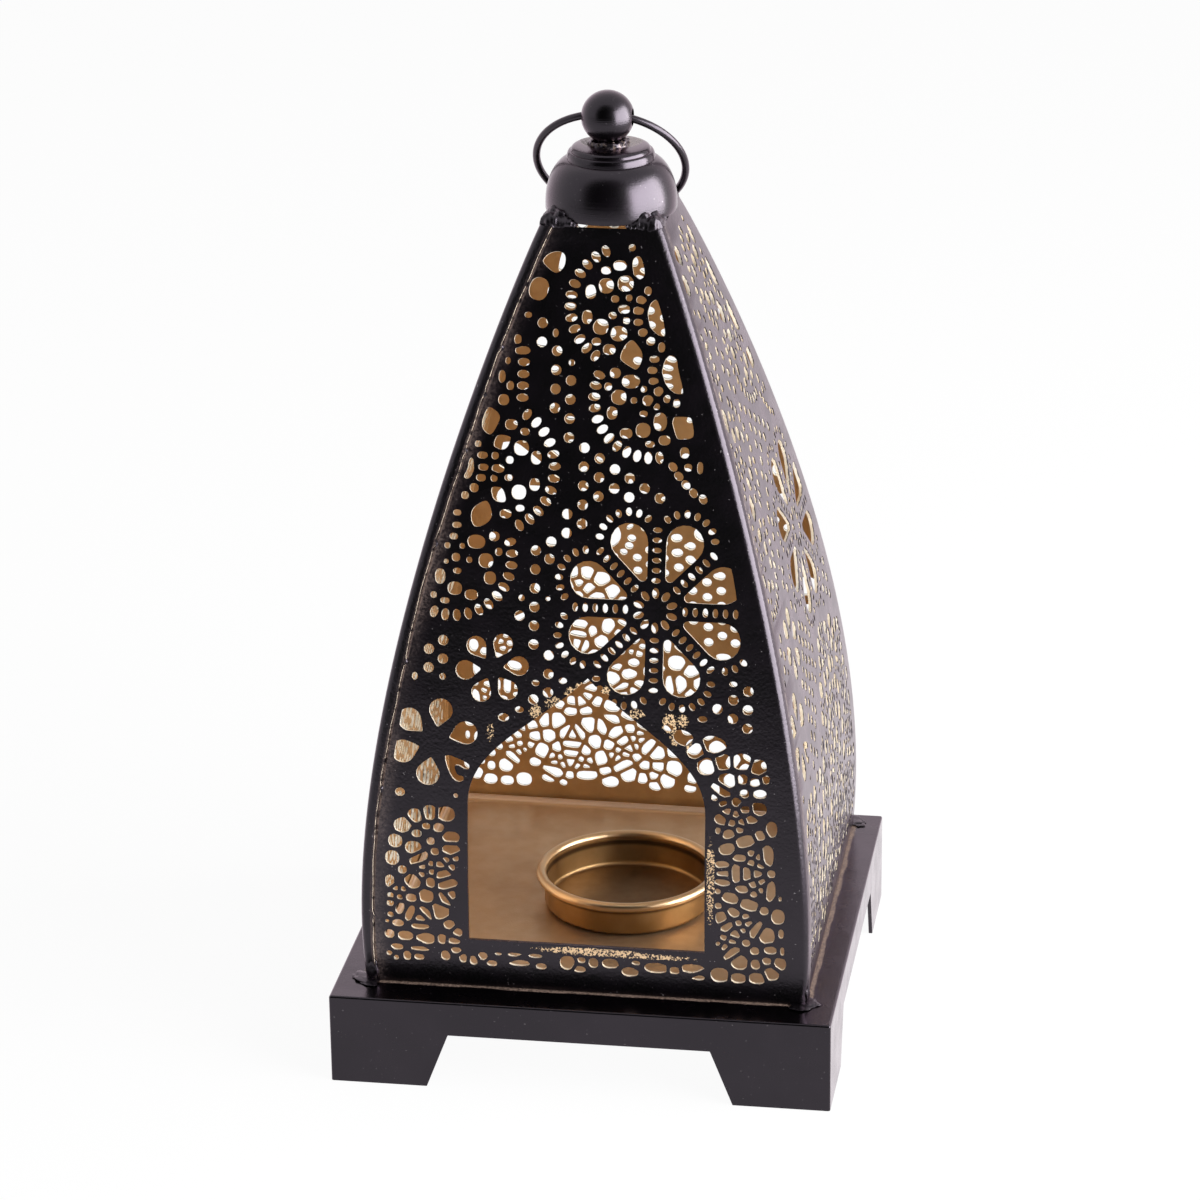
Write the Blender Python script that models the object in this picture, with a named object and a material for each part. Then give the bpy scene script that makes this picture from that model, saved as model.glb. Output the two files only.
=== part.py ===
"""Oriental lantern: folded plinth, four bowed pierced panels, gilt floor and cup, domed cap, ball and ring.

Metres, +Z up. The origin is the middle of the plinth at the level it stands on, and the doorway faces -Y.
Each panel is drawn flat first: across from its middle line and up from its foot, then bent to the bow.
Its doorway and ornament are drawn for a sheet of a set size and fitted to the real one.
"""
from math import asin, atan2, cos, hypot, pi, radians, sin, sqrt

import bmesh
import bpy
import numpy as np
from mathutils import Matrix, Vector
from mathutils.geometry import delaunay_2d_cdt

GAP = 0.0003

# Plinth, a tray folded from one sheet, open below
PLINTH_SIDE = 0.125
PLINTH_HEIGHT = 0.0234
PLINTH_SHEET = 0.0010
PLINTH_FOLD = 0.0007
FOOT_WIDTH = 0.0242
FOOT_SHOULDER = 0.0302
FOOT_ARCH_HEIGHT = 0.0148

# Body, four bowed panels whose right edges fold round the corners
BODY_SET_BACK = 0.003
BODY_HEIGHT = 0.1853
BODY_SHEET = 0.0009
BODY_FOOT_HALF = 0.05525
BODY_TOP_HALF = 0.0150
BOW_FOOT_OUT = 0.0063
BOW_FOOT_UP = 0.0747
BOW_TOP_OUT = 0.0032
BOW_TOP_DOWN = 0.0066
CORNER_RADIUS = 0.00275
SEAM_LAP = 0.0005
HOLE_MARGIN = 0.0054

# The sheet that the doorway and the ornament are drawn for, in drawing units
DRAWN_LENGTH = 191.2
DRAWN_FOOT_HALF = 55.25

# Doorway in the front panel, drawn
DOOR_CENTRE = 0.8
DOOR_HALF = 29.4
DOOR_SILL = 13.1
DOOR_SPRING = 49.0
DOOR_APEX = 82.0
DOOR_SHOULDER_RISE = 14.5
DOOR_POINT_OUT = 12.0
DOOR_POINT_DOWN = 12.3

# Rosette of eight petals and two flowers of six, drawn
ROSETTE_X = 16.9
ROSETTE_UP = 99.4
ROSETTE_PETALS = 8
ROSETTE_REACH = 22.4
ROSETTE_SPOKE = 4.4
ROSETTE_TIP_RADIUS = 1.15
FLOWER_PETALS = 6
UPPER_FLOWER = (-22.8, 83.4, radians(7), 2.9, 9.1, 2.45)
LOWER_FLOWER = (-36.9, 64.2, radians(19), 4.2, 11.3, 2.9)
PETAL_TIP_RADIUS = 0.5
LOWER_FLOWER_CUT_PETAL = 5

# Floor tray and candle cup
FLOOR_SHEET = 0.0008
FLOOR_LIP = 0.0026
FLOOR_COVE = 0.0012
CUP_X = 0.0033
CUP_Y = -0.0013
CUP_FOOT_RADIUS = 0.0213
CUP_HEIGHT = 0.0089
CUP_SHEET = 0.0006
CUP_FILLET = 0.0015
CUP_BEAD_RADIUS = 0.0012

# Cap: dome, tier, ball and their joint
DOME_RADIUS = 0.0162
DOME_HEIGHT = 0.0121
DOME_SKIRT = 0.0040
DOME_SHOULDER = 0.0072
DOME_SHEET = 0.0009
DOME_LIFT = 0.0015
TIER_RADIUS = 0.0107
TIER_HEIGHT = 0.0028
TIER_BAND = 0.0005
TIER_FLAT_RADIUS = 0.0075
TIER_SHEET = 0.0009
BALL_RADIUS = 0.0065
BALL_HOLE_RADIUS = 0.0021
SPIGOT_RADIUS = 0.0020
SPIGOT_PROUD = 0.0012

# Ring handle
RING_RADIUS = 0.0184
RING_WIRE_RADIUS = 0.00095
RING_SLIDE = -0.0012

# Weld beads, with the shares of reach and height at which the two corner beads bulge
CAP_WELD_WIDTH = 0.0052
CAP_WELD_HEIGHT = 0.0048
CAP_WELD_BULGE = (0.5, 0.7)
FOOT_WELD_REACH = 0.0034
FOOT_WELD_HEIGHT = 0.0022
FOOT_WELD_WIDTH = 0.0068
FOOT_WELD_BULGE = (0.7, 0.6)
FOOT_WELD_HALF_TURN = pi / 3
NECK_WELD_REACH = 0.0021
NECK_WELD_CLEARANCE = 0.0012
BEAD_SHARES = (0.45, 0.85, 1.0, 0.9, 0.5)

# How finely the shapes are divided and searched
BOW_STEPS = 400
DOOR_STEPS = 7
PANEL_LEVELS = 9
CORNER_STEPS = 3
CUP_SEGMENTS = 36
CAP_SEGMENTS = 32
BALL_SEGMENTS = 24
BALL_RINGS = 12
BALL_HOLE_SEGMENTS = 16
RING_SEGMENTS = 48
WIRE_SIDES = 8
RING_CLEARANCE_POINTS = 180
RING_LEAN_HALVINGS = 30

# Larger stones of the upper ornament, drawn: across, up, width, height, tilt in degrees
BLOBS = (
    (-10.8, 182.4, 5.8, 5.2, 0), (-14.3, 176.0, 4.8, 5.6, -15), (9.8, 181.9, 2.6, 5.6, 17),
    (14.8, 169.9, 3.1, 8.8, 16), (5.7, 165.9, 4.1, 3.7, 0), (9.0, 161.0, 5.4, 6.8, 10),
    (19.2, 156.4, 3.6, 9.0, 14), (9.1, 154.5, 4.5, 3.3, 0), (16.6, 145.1, 3.3, 4.4, 0),
    (22.2, 143.8, 5.2, 5.3, 0), (-21.8, 138.7, 4.0, 3.6, 0), (-24.9, 143.7, 4.0, 6.2, -10),
    (-22.3, 125.9, 3.8, 3.7, 0), (-26.4, 121.1, 5.5, 6.7, -10), (-27.4, 114.2, 4.4, 3.4, 0),
    (2.1, 177.3, 3.7, 3.7, 0), (6.8, 178.0, 3.9, 3.9, 0), (1.2, 167.4, 3.8, 3.8, 0),
    (12.5, 142.9, 3.6, 3.6, 0), (-17.0, 137.4, 3.7, 3.7, 0), (-17.3, 126.7, 3.6, 3.6, 0),
    (-24.9, 109.7, 3.6, 3.6, 0), (-32.4, 102.6, 3.6, 3.3, 0), (-23.8, 105.5, 3.0, 3.2, 0),
)
BLOB_POINTS = 6

# Swirls of radial slots, drawn: across and up of the middle, radius, first and last angle in degrees
SWIRLS = (
    (8.2, 172.6, 14.6, 116.6, 236.7), (14.5, 150.5, 14.2, 158.0, 279.0),
    (-24.3, 132.4, 15.6, 57.5, -61.7), (-33.0, 110.5, 14.5, 16.0, -107.6),
)
SWIRL_SLOTS = 12
SWIRL_SLOT_LENGTH = 3.2
SWIRL_SLOT_WIDTH = 2.2
SWIRL_POINTS = 5

# Pebbled ground low in the panels, drawn: rows in each column, which go past the doorway only at its sides
PEBBLE_PITCH = 8.2
PEBBLE_RISE = 7.4
PEBBLE_WIDTH = 6.4
PEBBLE_HEIGHT = 5.6
PEBBLE_TILT = radians(18)
PEBBLE_POINTS = 6
PEBBLE_FOOT = 9.3
PEBBLE_ROWS = (6, 6, 6, 6, 6, 7, 7, 8, 8, 8, 8, 7)

FACES = (("front", 0), ("right", 90), ("back", 180), ("left", 270))
CORNERS = (("front_right", 45), ("back_right", 135), ("back_left", 225), ("front_left", 315))
MIDDLE = Vector((0.0, BODY_SET_BACK, 0.0))


# Scene and materials

def clear_scene():
    for item in list(bpy.data.objects):
        bpy.data.objects.remove(item, do_unlink=True)


def material(name, colour, roughness, metallic):
    surface = bpy.data.materials.new(name)
    surface.use_nodes = True
    shader = surface.node_tree.nodes["Principled BSDF"]
    shader.inputs["Base Color"].default_value = (*colour, 1.0)
    shader.inputs["Roughness"].default_value = roughness
    shader.inputs["Metallic"].default_value = metallic
    return surface


def add_object(name, bm, surface, smooth_angle=None):
    bmesh.ops.recalc_face_normals(bm, faces=bm.faces)
    mesh = bpy.data.meshes.new(name)
    bm.to_mesh(mesh)
    bm.free()
    if smooth_angle is not None:
        mesh.shade_smooth()
        mesh.set_sharp_from_angle(angle=smooth_angle)
    mesh.materials.append(surface)
    item = bpy.data.objects.new(name, mesh)
    bpy.context.scene.collection.objects.link(item)
    return item


def add_cutter(item, cutter):
    cutter.hide_render = True
    cutter.display_type = "WIRE"
    cut = item.modifiers.new(cutter.name, "BOOLEAN")
    cut.operation = "DIFFERENCE"
    cut.solver = "EXACT"
    cut.object = cutter


# Shapes used more than once

def box(low, high):
    bm = bmesh.new()
    bmesh.ops.create_cube(bm, size=1.0)
    for vert in bm.verts:
        vert.co = Vector([low[k] if vert.co[k] < 0 else high[k] for k in range(3)])
    return bm


def prism(outline, axis, half_length):
    """A closed bar with the outline (across, up), running both ways along X or Y."""
    bm = bmesh.new()
    ends = []
    for place in (-half_length, half_length):
        if axis == "Y":
            ends.append([bm.verts.new((a, place, z)) for a, z in outline])
        else:
            ends.append([bm.verts.new((place, a, z)) for a, z in outline])
    bm.faces.new(ends[0])
    bm.faces.new(ends[1])
    count = len(outline)
    for k in range(count):
        m = (k + 1) % count
        bm.faces.new((ends[0][k], ends[0][m], ends[1][m], ends[1][k]))
    return bm


def turned(outline, segments):
    """Spin a closed outline of (radius, z) about the Z axis. A radius of zero is a point on the axis."""
    bm = bmesh.new()
    rings = []
    for radius, z in outline:
        if radius == 0.0:
            rings.append([bm.verts.new((0.0, 0.0, z))])
            continue
        turn = [2 * pi * k / segments for k in range(segments)]
        rings.append([bm.verts.new((radius * cos(a), radius * sin(a), z)) for a in turn])
    for lower, upper in zip(rings, rings[1:] + rings[:1]):
        if len(lower) == 1 and len(upper) == 1:
            continue
        for k in range(segments):
            m = (k + 1) % segments
            ring = [lower[k % len(lower)], lower[m % len(lower)], upper[m % len(upper)], upper[k % len(upper)]]
            bm.faces.new(list(dict.fromkeys(ring)))
    return bm


def arc(centre, radii, start, stop, steps):
    """Points of an ellipse arc from start to stop degrees, in (radius, z)."""
    turn = [radians(start + (stop - start) * k / steps) for k in range(steps + 1)]
    return [(centre[0] + radii[0] * cos(a), centre[1] + radii[1] * sin(a)) for a in turn]


# Plinth

def build_plinth(black):
    half = PLINTH_SIDE / 2
    shell = box((-half, -half, 0.0), (half, half, PLINTH_HEIGHT))
    folds = [e for e in shell.edges if max(v.co.z for v in e.verts) > PLINTH_HEIGHT / 2]
    bmesh.ops.bevel(shell, geom=folds, offset=PLINTH_FOLD, segments=2, affect="EDGES", profile=0.5)
    plinth = add_object("plinth", shell, black)
    inner = half - PLINTH_SHEET
    below = -PLINTH_HEIGHT
    hollow = box((-inner, -inner, below), (inner, inner, PLINTH_HEIGHT - PLINTH_SHEET))
    add_cutter(plinth, add_object("plinth_hollow", hollow, black))
    slope = (FOOT_SHOULDER - FOOT_WIDTH) / FOOT_ARCH_HEIGHT
    bottom = half - FOOT_WIDTH + slope * PLINTH_HEIGHT
    top = half - FOOT_SHOULDER
    outline = [(-bottom, below), (bottom, below), (top, FOOT_ARCH_HEIGHT), (-top, FOOT_ARCH_HEIGHT)]
    for axis in "XY":
        add_cutter(plinth, add_object("foot_arch_" + axis, prism(outline, axis, PLINTH_SIDE), black))


# Bow of the body

def bow_curve():
    """Distance up the sheet, half-width and height of points along the bow, from foot to top."""
    foot = np.array((BODY_FOOT_HALF, PLINTH_HEIGHT))
    top = np.array((BODY_TOP_HALF, PLINTH_HEIGHT + BODY_HEIGHT))
    foot_handle = foot + np.array((BOW_FOOT_OUT, BOW_FOOT_UP))
    top_handle = top + np.array((BOW_TOP_OUT, -BOW_TOP_DOWN))
    t = np.linspace(0.0, 1.0, BOW_STEPS + 1)[:, None]
    points = (1 - t) ** 3 * foot + 3 * t * (1 - t) ** 2 * foot_handle
    points = points + 3 * t * t * (1 - t) * top_handle + t ** 3 * top
    steps = np.hypot(*np.diff(points, axis=0).T)
    return np.concatenate(((0.0,), np.cumsum(steps))), points[:, 0], points[:, 1]


BOW_UP, BOW_HALF, BOW_Z = bow_curve()
PANEL_LENGTH = float(BOW_UP[-1])


def half_at(up):
    return float(np.interp(up, BOW_UP, BOW_HALF))


def height_at(up):
    return float(np.interp(up, BOW_UP, BOW_Z))


def lean_at(up):
    """Angle of the sheet from upright, positive where it leans in."""
    step = PANEL_LENGTH / BOW_STEPS
    low, high = max(up - step, 0.0), min(up + step, PANEL_LENGTH)
    return atan2(half_at(low) - half_at(high), height_at(high) - height_at(low))


def bend(across, up, depth):
    """Place of a point of the flat sheet on the front face, at a depth below the outer surface."""
    half = half_at(up)
    lean = lean_at(up)
    flat = half - CORNER_RADIUS
    if across <= flat:
        place = Vector((across, -half, 0.0))
        turn = 0.0
    else:
        turn = min((across - flat) / CORNER_RADIUS, pi / 2)
        past = max(across - flat - CORNER_RADIUS * pi / 2, 0.0)
        place = Vector((flat + CORNER_RADIUS * sin(turn), -flat - CORNER_RADIUS * cos(turn) + past, 0.0))
    outward = Vector((sin(turn) * cos(lean), -cos(turn) * cos(lean), sin(lean)))
    return place + Vector((0.0, 0.0, height_at(up))) - outward * depth


# Pierced shapes, in drawing units until they are fitted to the sheet

def ornament_scale():
    return min(PANEL_LENGTH / DRAWN_LENGTH, BODY_FOOT_HALF / DRAWN_FOOT_HALF)


def oval(across, up, width, height, tilt, points):
    turn = [2 * pi * (k + 0.5) / points for k in range(points)]
    flat = [(width / 2 * cos(a), height / 2 * sin(a)) for a in turn]
    return [(across + x * cos(tilt) - y * sin(tilt), up + x * sin(tilt) + y * cos(tilt)) for x, y in flat]


def petal(centre, direction, tip, end, tip_points, end_points):
    """A drop round two circles on one line from the centre, each given as (distance, radius)."""
    side = asin((end[1] - tip[1]) / (end[0] - tip[0]))
    turns = [(tip, pi / 2 + side, 3 * pi / 2 - side, tip_points)]
    turns.append((end, -pi / 2 - side, pi / 2 + side, end_points))
    outline = []
    for (distance, radius), start, stop, points in turns:
        for k in range(points):
            a = start + (stop - start) * k / (points - 1)
            x, y = distance + radius * cos(a), radius * sin(a)
            outline.append((centre[0] + x * cos(direction) - y * sin(direction),
                            centre[1] + x * sin(direction) + y * cos(direction)))
    return outline


def rosette_holes():
    """Wedges between straight spokes, each ending in a circle that reaches the rosette's edge."""
    half_angle = pi / ROSETTE_PETALS
    share = sin(half_angle)
    end = (ROSETTE_REACH + ROSETTE_SPOKE / 2) / (1 + share)
    tip = (ROSETTE_SPOKE / 2 + ROSETTE_TIP_RADIUS) / share
    for k in range(ROSETTE_PETALS):
        direction = half_angle * (2 * k + 1)
        yield petal((ROSETTE_X, ROSETTE_UP), direction, (tip, ROSETTE_TIP_RADIUS), (end, ROSETTE_REACH - end),
                    tip_points=3, end_points=6)


def flower_holes(flower, skip=None):
    x, up, phase, inner, outer, half_width = flower
    for k in range(FLOWER_PETALS):
        if k != skip:
            tip = (inner + PETAL_TIP_RADIUS, PETAL_TIP_RADIUS)
            yield petal((x, up), phase + 2 * pi * k / FLOWER_PETALS, tip, (outer - half_width, half_width),
                        tip_points=2, end_points=5)


def door_outline():
    """Straight jambs to the springing, then an ogee up to the point."""
    side = []
    shoulder = DOOR_SPRING + DOOR_SHOULDER_RISE
    for k in range(DOOR_STEPS + 1):
        t = k / DOOR_STEPS
        x = (1 - t) ** 3 * DOOR_HALF + 3 * t * (1 - t) ** 2 * DOOR_HALF + 3 * t * t * (1 - t) * DOOR_POINT_OUT
        up = (1 - t) ** 3 * DOOR_SPRING + 3 * t * (1 - t) ** 2 * shoulder
        up += 3 * t * t * (1 - t) * (DOOR_APEX - DOOR_POINT_DOWN) + t ** 3 * DOOR_APEX
        side.append((x, up))
    right = [(DOOR_HALF, DOOR_SILL)] + side
    left = [(-x, up) for x, up in reversed(right[:-1])]
    return [(DOOR_CENTRE + x, up) for x, up in right + left]


def swirl_holes():
    for x, up, radius, first, last in SWIRLS:
        for k in range(SWIRL_SLOTS):
            turn = radians(first + (last - first) * k / (SWIRL_SLOTS - 1))
            yield oval(x + radius * cos(turn), up + radius * sin(turn), SWIRL_SLOT_LENGTH, SWIRL_SLOT_WIDTH,
                       turn, SWIRL_POINTS)


def pebble_holes(has_door):
    """Columns of rounded stones, leaning one way and then the other, and clear of a doorway."""
    for column, rows in enumerate(PEBBLE_ROWS):
        across = (column - (len(PEBBLE_ROWS) - 1) / 2) * PEBBLE_PITCH
        beside_door = abs(across) > DOOR_HALF + PEBBLE_WIDTH / 2
        for row in range(rows if beside_door or not has_door else 1):
            tilt = PEBBLE_TILT if (row + column) % 2 else -PEBBLE_TILT
            yield oval(across, PEBBLE_FOOT + row * PEBBLE_RISE, PEBBLE_WIDTH, PEBBLE_HEIGHT, tilt, PEBBLE_POINTS)


def panel_holes(has_door):
    holes = [oval(x, up, w, h, radians(tilt), BLOB_POINTS) for x, up, w, h, tilt in BLOBS]
    holes += list(rosette_holes())
    holes += list(flower_holes(UPPER_FLOWER))
    holes += list(flower_holes(LOWER_FLOWER, skip=LOWER_FLOWER_CUT_PETAL))
    holes += list(swirl_holes())
    holes += list(pebble_holes(has_door))
    if has_door:
        holes.append(door_outline())
    scale = ornament_scale()
    return [[keep_off_edge(x * scale, up * scale) for x, up in hole] for hole in holes]


def keep_off_edge(across, up):
    limit = half_at(up) - HOLE_MARGIN
    return min(max(across, -limit), limit), up


# Panels

def panel_grid():
    """Fold lines of the flat sheet: each row runs from the left edge, over the flat, round the corner."""
    rows = []
    for k in range(PANEL_LEVELS + 1):
        up = GAP + (PANEL_LENGTH - GAP) * k / PANEL_LEVELS
        flat = half_at(up) - CORNER_RADIUS
        row = [(-(flat - SEAM_LAP - GAP), up)]
        row += [(flat + CORNER_RADIUS * pi / 2 * m / CORNER_STEPS, up) for m in range(CORNER_STEPS + 1)]
        row.append((flat + CORNER_RADIUS * pi / 2 + SEAM_LAP, up))
        rows.append(row)
    return rows


def flat_sheet(has_door):
    """Triangles of the pierced sheet, in the flat."""
    points, edges, faces = [], [], []
    rows = panel_grid()
    width = len(rows[0])
    for row in rows:
        points += row
    for k in range(len(rows)):
        edges += [(k * width + m, k * width + m + 1) for m in range(width - 1)]
        if k:
            edges += [((k - 1) * width + m, k * width + m) for m in range(width)]
    rim = list(range(width)) + [k * width + width - 1 for k in range(1, len(rows))]
    rim += [(len(rows) - 1) * width + m for m in range(width - 2, -1, -1)]
    rim += [k * width for k in range(len(rows) - 2, 0, -1)]
    faces.append(rim)
    for hole in panel_holes(has_door):
        first = len(points)
        points += hole
        faces.append(list(range(first, first + len(hole))))
    scale = ornament_scale()
    flat = [Vector(p) / scale for p in points]
    verts, _, triangles, _, _, origin = delaunay_2d_cdt(flat, edges, faces, 1, 1e-4)
    kept = [t for t, source in zip(triangles, origin) if list(source) == [0]]
    return [v * scale for v in verts], kept


def build_panel(name, turn, sheet, black):
    verts, triangles = sheet
    bm = bmesh.new()
    spin = Matrix.Rotation(turn, 4, "Z")
    used = sorted({k for t in triangles for k in t})
    skins = []
    for depth in (0.0, BODY_SHEET):
        skins.append({k: bm.verts.new(spin @ bend(verts[k].x, verts[k].y, depth)) for k in used})
    outer, inner = skins
    count = {}
    for t in triangles:
        bm.faces.new([outer[k] for k in t])
        bm.faces.new([inner[k] for k in reversed(t)])
        for a, b in zip(t, t[1:] + t[:1]):
            count[(a, b)] = True
    for a, b in count:
        if (b, a) not in count:
            bm.faces.new((outer[b], outer[a], inner[a], inner[b]))
    panel = add_object("panel_" + name, bm, black, radians(40))
    panel.location = MIDDLE


# Floor and cup

def build_floor(gilt):
    half = BODY_FOOT_HALF - BODY_SHEET - GAP
    low = PLINTH_HEIGHT + GAP
    tray = box((-half, -half, low), (half, half, low + FLOOR_LIP))
    upright = [e for e in tray.edges if abs(e.verts[0].co.z - e.verts[1].co.z) > FLOOR_LIP / 2]
    bmesh.ops.bevel(tray, geom=upright, offset=CORNER_RADIUS - BODY_SHEET - GAP, segments=CORNER_STEPS,
                    affect="EDGES", profile=0.5)
    plate = add_object("floor_plate", tray, gilt)
    inner = half - FLOOR_SHEET
    hollow = box((-inner, -inner, low + FLOOR_SHEET), (inner, inner, low + 2 * FLOOR_LIP))
    cove = [e for e in hollow.edges if max(v.co.z for v in e.verts) < low + FLOOR_LIP]
    bmesh.ops.bevel(hollow, geom=cove, offset=FLOOR_COVE, segments=3, affect="EDGES", profile=0.5)
    pocket = add_object("floor_hollow", hollow, gilt)
    for item in (plate, pocket):
        item.location = MIDDLE
    add_cutter(plate, pocket)


def build_cup(gilt):
    foot = PLINTH_HEIGHT + 2 * GAP + FLOOR_SHEET
    rim = foot + CUP_HEIGHT
    outer = CUP_FOOT_RADIUS
    inner = outer - CUP_SHEET
    bead = (outer + CUP_BEAD_RADIUS / 2, rim - CUP_BEAD_RADIUS)
    turn = asin((bead[0] - outer) / CUP_BEAD_RADIUS)
    outline = [(0.0, foot)] + arc((outer - CUP_FILLET, foot + CUP_FILLET), (CUP_FILLET, CUP_FILLET), 270, 360, 2)
    start = 270 - turn * 180 / pi
    outline += arc(bead, (CUP_BEAD_RADIUS, CUP_BEAD_RADIUS), start, start + 232, 6)
    outline += [(inner, bead[1])]
    outline += arc((inner - CUP_FILLET, foot + CUP_SHEET + CUP_FILLET), (CUP_FILLET, CUP_FILLET), 0, -90, 2)
    outline += [(0.0, foot + CUP_SHEET)]
    cup = add_object("candle_cup", turned(outline, CUP_SEGMENTS), gilt, radians(40))
    cup.location = (CUP_X, CUP_Y, 0.0)


# Cap

DOME_FOOT_Z = PLINTH_HEIGHT + BODY_HEIGHT + DOME_LIFT
TIER_FOOT_Z = DOME_FOOT_Z + DOME_HEIGHT + GAP
TIER_TOP_Z = TIER_FOOT_Z + TIER_HEIGHT
BALL_Z = TIER_TOP_Z + GAP + BALL_RADIUS
SPIGOT_HOLE = SPIGOT_RADIUS + GAP


def dome_outline(inset, hole):
    """Skirt and rounded shoulder up to the flat crown, then back to the middle hole."""
    centre = (DOME_RADIUS - DOME_SHOULDER, DOME_FOOT_Z + DOME_SKIRT)
    radii = (DOME_SHOULDER - inset, DOME_HEIGHT - DOME_SKIRT - inset)
    crown = DOME_FOOT_Z + DOME_HEIGHT - inset
    return [(DOME_RADIUS - inset, DOME_FOOT_Z)] + arc(centre, radii, 0, 90, 5) + [(hole, crown)]


def build_cap(black):
    outer = dome_outline(0.0, SPIGOT_HOLE)
    inner = dome_outline(DOME_SHEET, SPIGOT_HOLE)
    dome = add_object("cap_dome", turned(outer + inner[::-1], CAP_SEGMENTS), black, radians(40))
    band = TIER_FOOT_Z + TIER_BAND
    skins = []
    for inset in (0.0, TIER_SHEET):
        radii = (TIER_RADIUS - TIER_FLAT_RADIUS, TIER_HEIGHT - TIER_BAND - inset)
        shoulder = arc((TIER_FLAT_RADIUS - inset, band), radii, 0, 90, 3)
        skins.append([(TIER_RADIUS - inset, TIER_FOOT_Z)] + shoulder + [(SPIGOT_HOLE, TIER_TOP_Z - inset)])
    tier = add_object("cap_tier", turned(skins[0] + skins[1][::-1], CAP_SEGMENTS), black, radians(40))
    for item in (dome, tier):
        item.location = MIDDLE


def build_ball(black):
    """A ball with a spigot down through tier and dome, bored across for the ring."""
    join = asin(SPIGOT_RADIUS / BALL_RADIUS)
    turn = [join + (pi - join) * k / BALL_RINGS for k in range(BALL_RINGS + 1)]
    outline = [(0.0, DOME_FOOT_Z + DOME_HEIGHT - DOME_SHEET - SPIGOT_PROUD)]
    outline += [(SPIGOT_RADIUS, outline[0][1])]
    outline += [(BALL_RADIUS * sin(a), BALL_Z - BALL_RADIUS * cos(a)) for a in turn[:-1]]
    outline += [(0.0, BALL_Z + BALL_RADIUS)]
    ball = add_object("finial_ball", turned(outline, BALL_SEGMENTS), black, radians(40))
    ball.location = MIDDLE
    bore = bmesh.new()
    along = Matrix.Rotation(pi / 2, 4, "Y")
    bmesh.ops.create_cone(bore, cap_ends=True, segments=BALL_HOLE_SEGMENTS, radius1=BALL_HOLE_RADIUS,
                          radius2=BALL_HOLE_RADIUS, depth=4 * BALL_RADIUS, matrix=along)
    cutter = add_object("ring_bore", bore, black)
    cutter.location = MIDDLE + Vector((0.0, 0.0, BALL_Z))
    add_cutter(ball, cutter)


# Ring handle

def ring_drop():
    """Distance from the bore's axis to the ring's middle that centres the curved wire in the straight bore."""
    mouth = sqrt(BALL_RADIUS ** 2 - BALL_HOLE_RADIUS ** 2) + abs(RING_SLIDE)
    return (RING_RADIUS + sqrt(RING_RADIUS ** 2 - mouth ** 2)) / 2


def ring_clearance(lean):
    """Least distance from the wire to the back panel and the dome, the ring leaning back below level."""
    least = RING_RADIUS
    for k in range(RING_CLEARANCE_POINTS):
        a = 2 * pi * k / RING_CLEARANCE_POINTS
        along = ring_drop() - RING_RADIUS * cos(a)
        x = RING_SLIDE + RING_RADIUS * sin(a)
        y = along * cos(lean)
        z = BALL_Z - along * sin(lean)
        if z < BOW_Z[-1]:
            up = float(np.interp(z, BOW_Z, BOW_UP))
            least = min(least, (y - half_at(up)) * cos(lean_at(up)))
        elif z < DOME_FOOT_Z + DOME_HEIGHT:
            least = min(least, hypot(x, y) - DOME_RADIUS)
    return least - RING_WIRE_RADIUS


def ring_lean():
    """The steepest lean at which the ring still clears what is behind it by the gap."""
    low, high = 0.0, pi / 2
    for _ in range(RING_LEAN_HALVINGS):
        middle = (low + high) / 2
        low, high = (middle, high) if ring_clearance(middle) > GAP else (low, middle)
    return low


def build_ring(black):
    bm = bmesh.new()
    wires = []
    for k in range(RING_SEGMENTS):
        a = 2 * pi * k / RING_SEGMENTS
        outward = Vector((sin(a), -cos(a), 0.0))
        middle = Vector((RING_SLIDE, ring_drop(), 0.0)) + outward * RING_RADIUS
        section = [2 * pi * m / WIRE_SIDES for m in range(WIRE_SIDES)]
        wires.append([bm.verts.new(middle + (outward * cos(b) + Vector((0, 0, sin(b)))) * RING_WIRE_RADIUS)
                      for b in section])
    for k in range(RING_SEGMENTS):
        here, there = wires[k], wires[(k + 1) % RING_SEGMENTS]
        for m in range(WIRE_SIDES):
            n = (m + 1) % WIRE_SIDES
            bm.faces.new((here[m], here[n], there[n], there[m]))
    ring = add_object("ring_handle", bm, black, radians(60))
    ring.location = MIDDLE + Vector((0.0, 0.0, BALL_Z))
    ring.rotation_euler = (-ring_lean(), 0.0, 0.0)


# Weld beads

def swept_bead(section, angles, shares):
    """Turn a closed (radius, z) section about Z, shrinking towards its first point by the shares."""
    bm = bmesh.new()
    rings = []
    for a, share in zip(angles, shares):
        base = section[0]
        ring = [(base[0] + (r - base[0]) * share, base[1] + (z - base[1]) * share) for r, z in section]
        rings.append([bm.verts.new((r * sin(a), -r * cos(a), z)) for r, z in ring])
    bm.faces.new(rings[0])
    bm.faces.new(rings[-1])
    count = len(section)
    for here, there in zip(rings, rings[1:]):
        for k in range(count):
            m = (k + 1) % count
            bm.faces.new((here[k], here[m], there[m], there[k]))
    return bm


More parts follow.
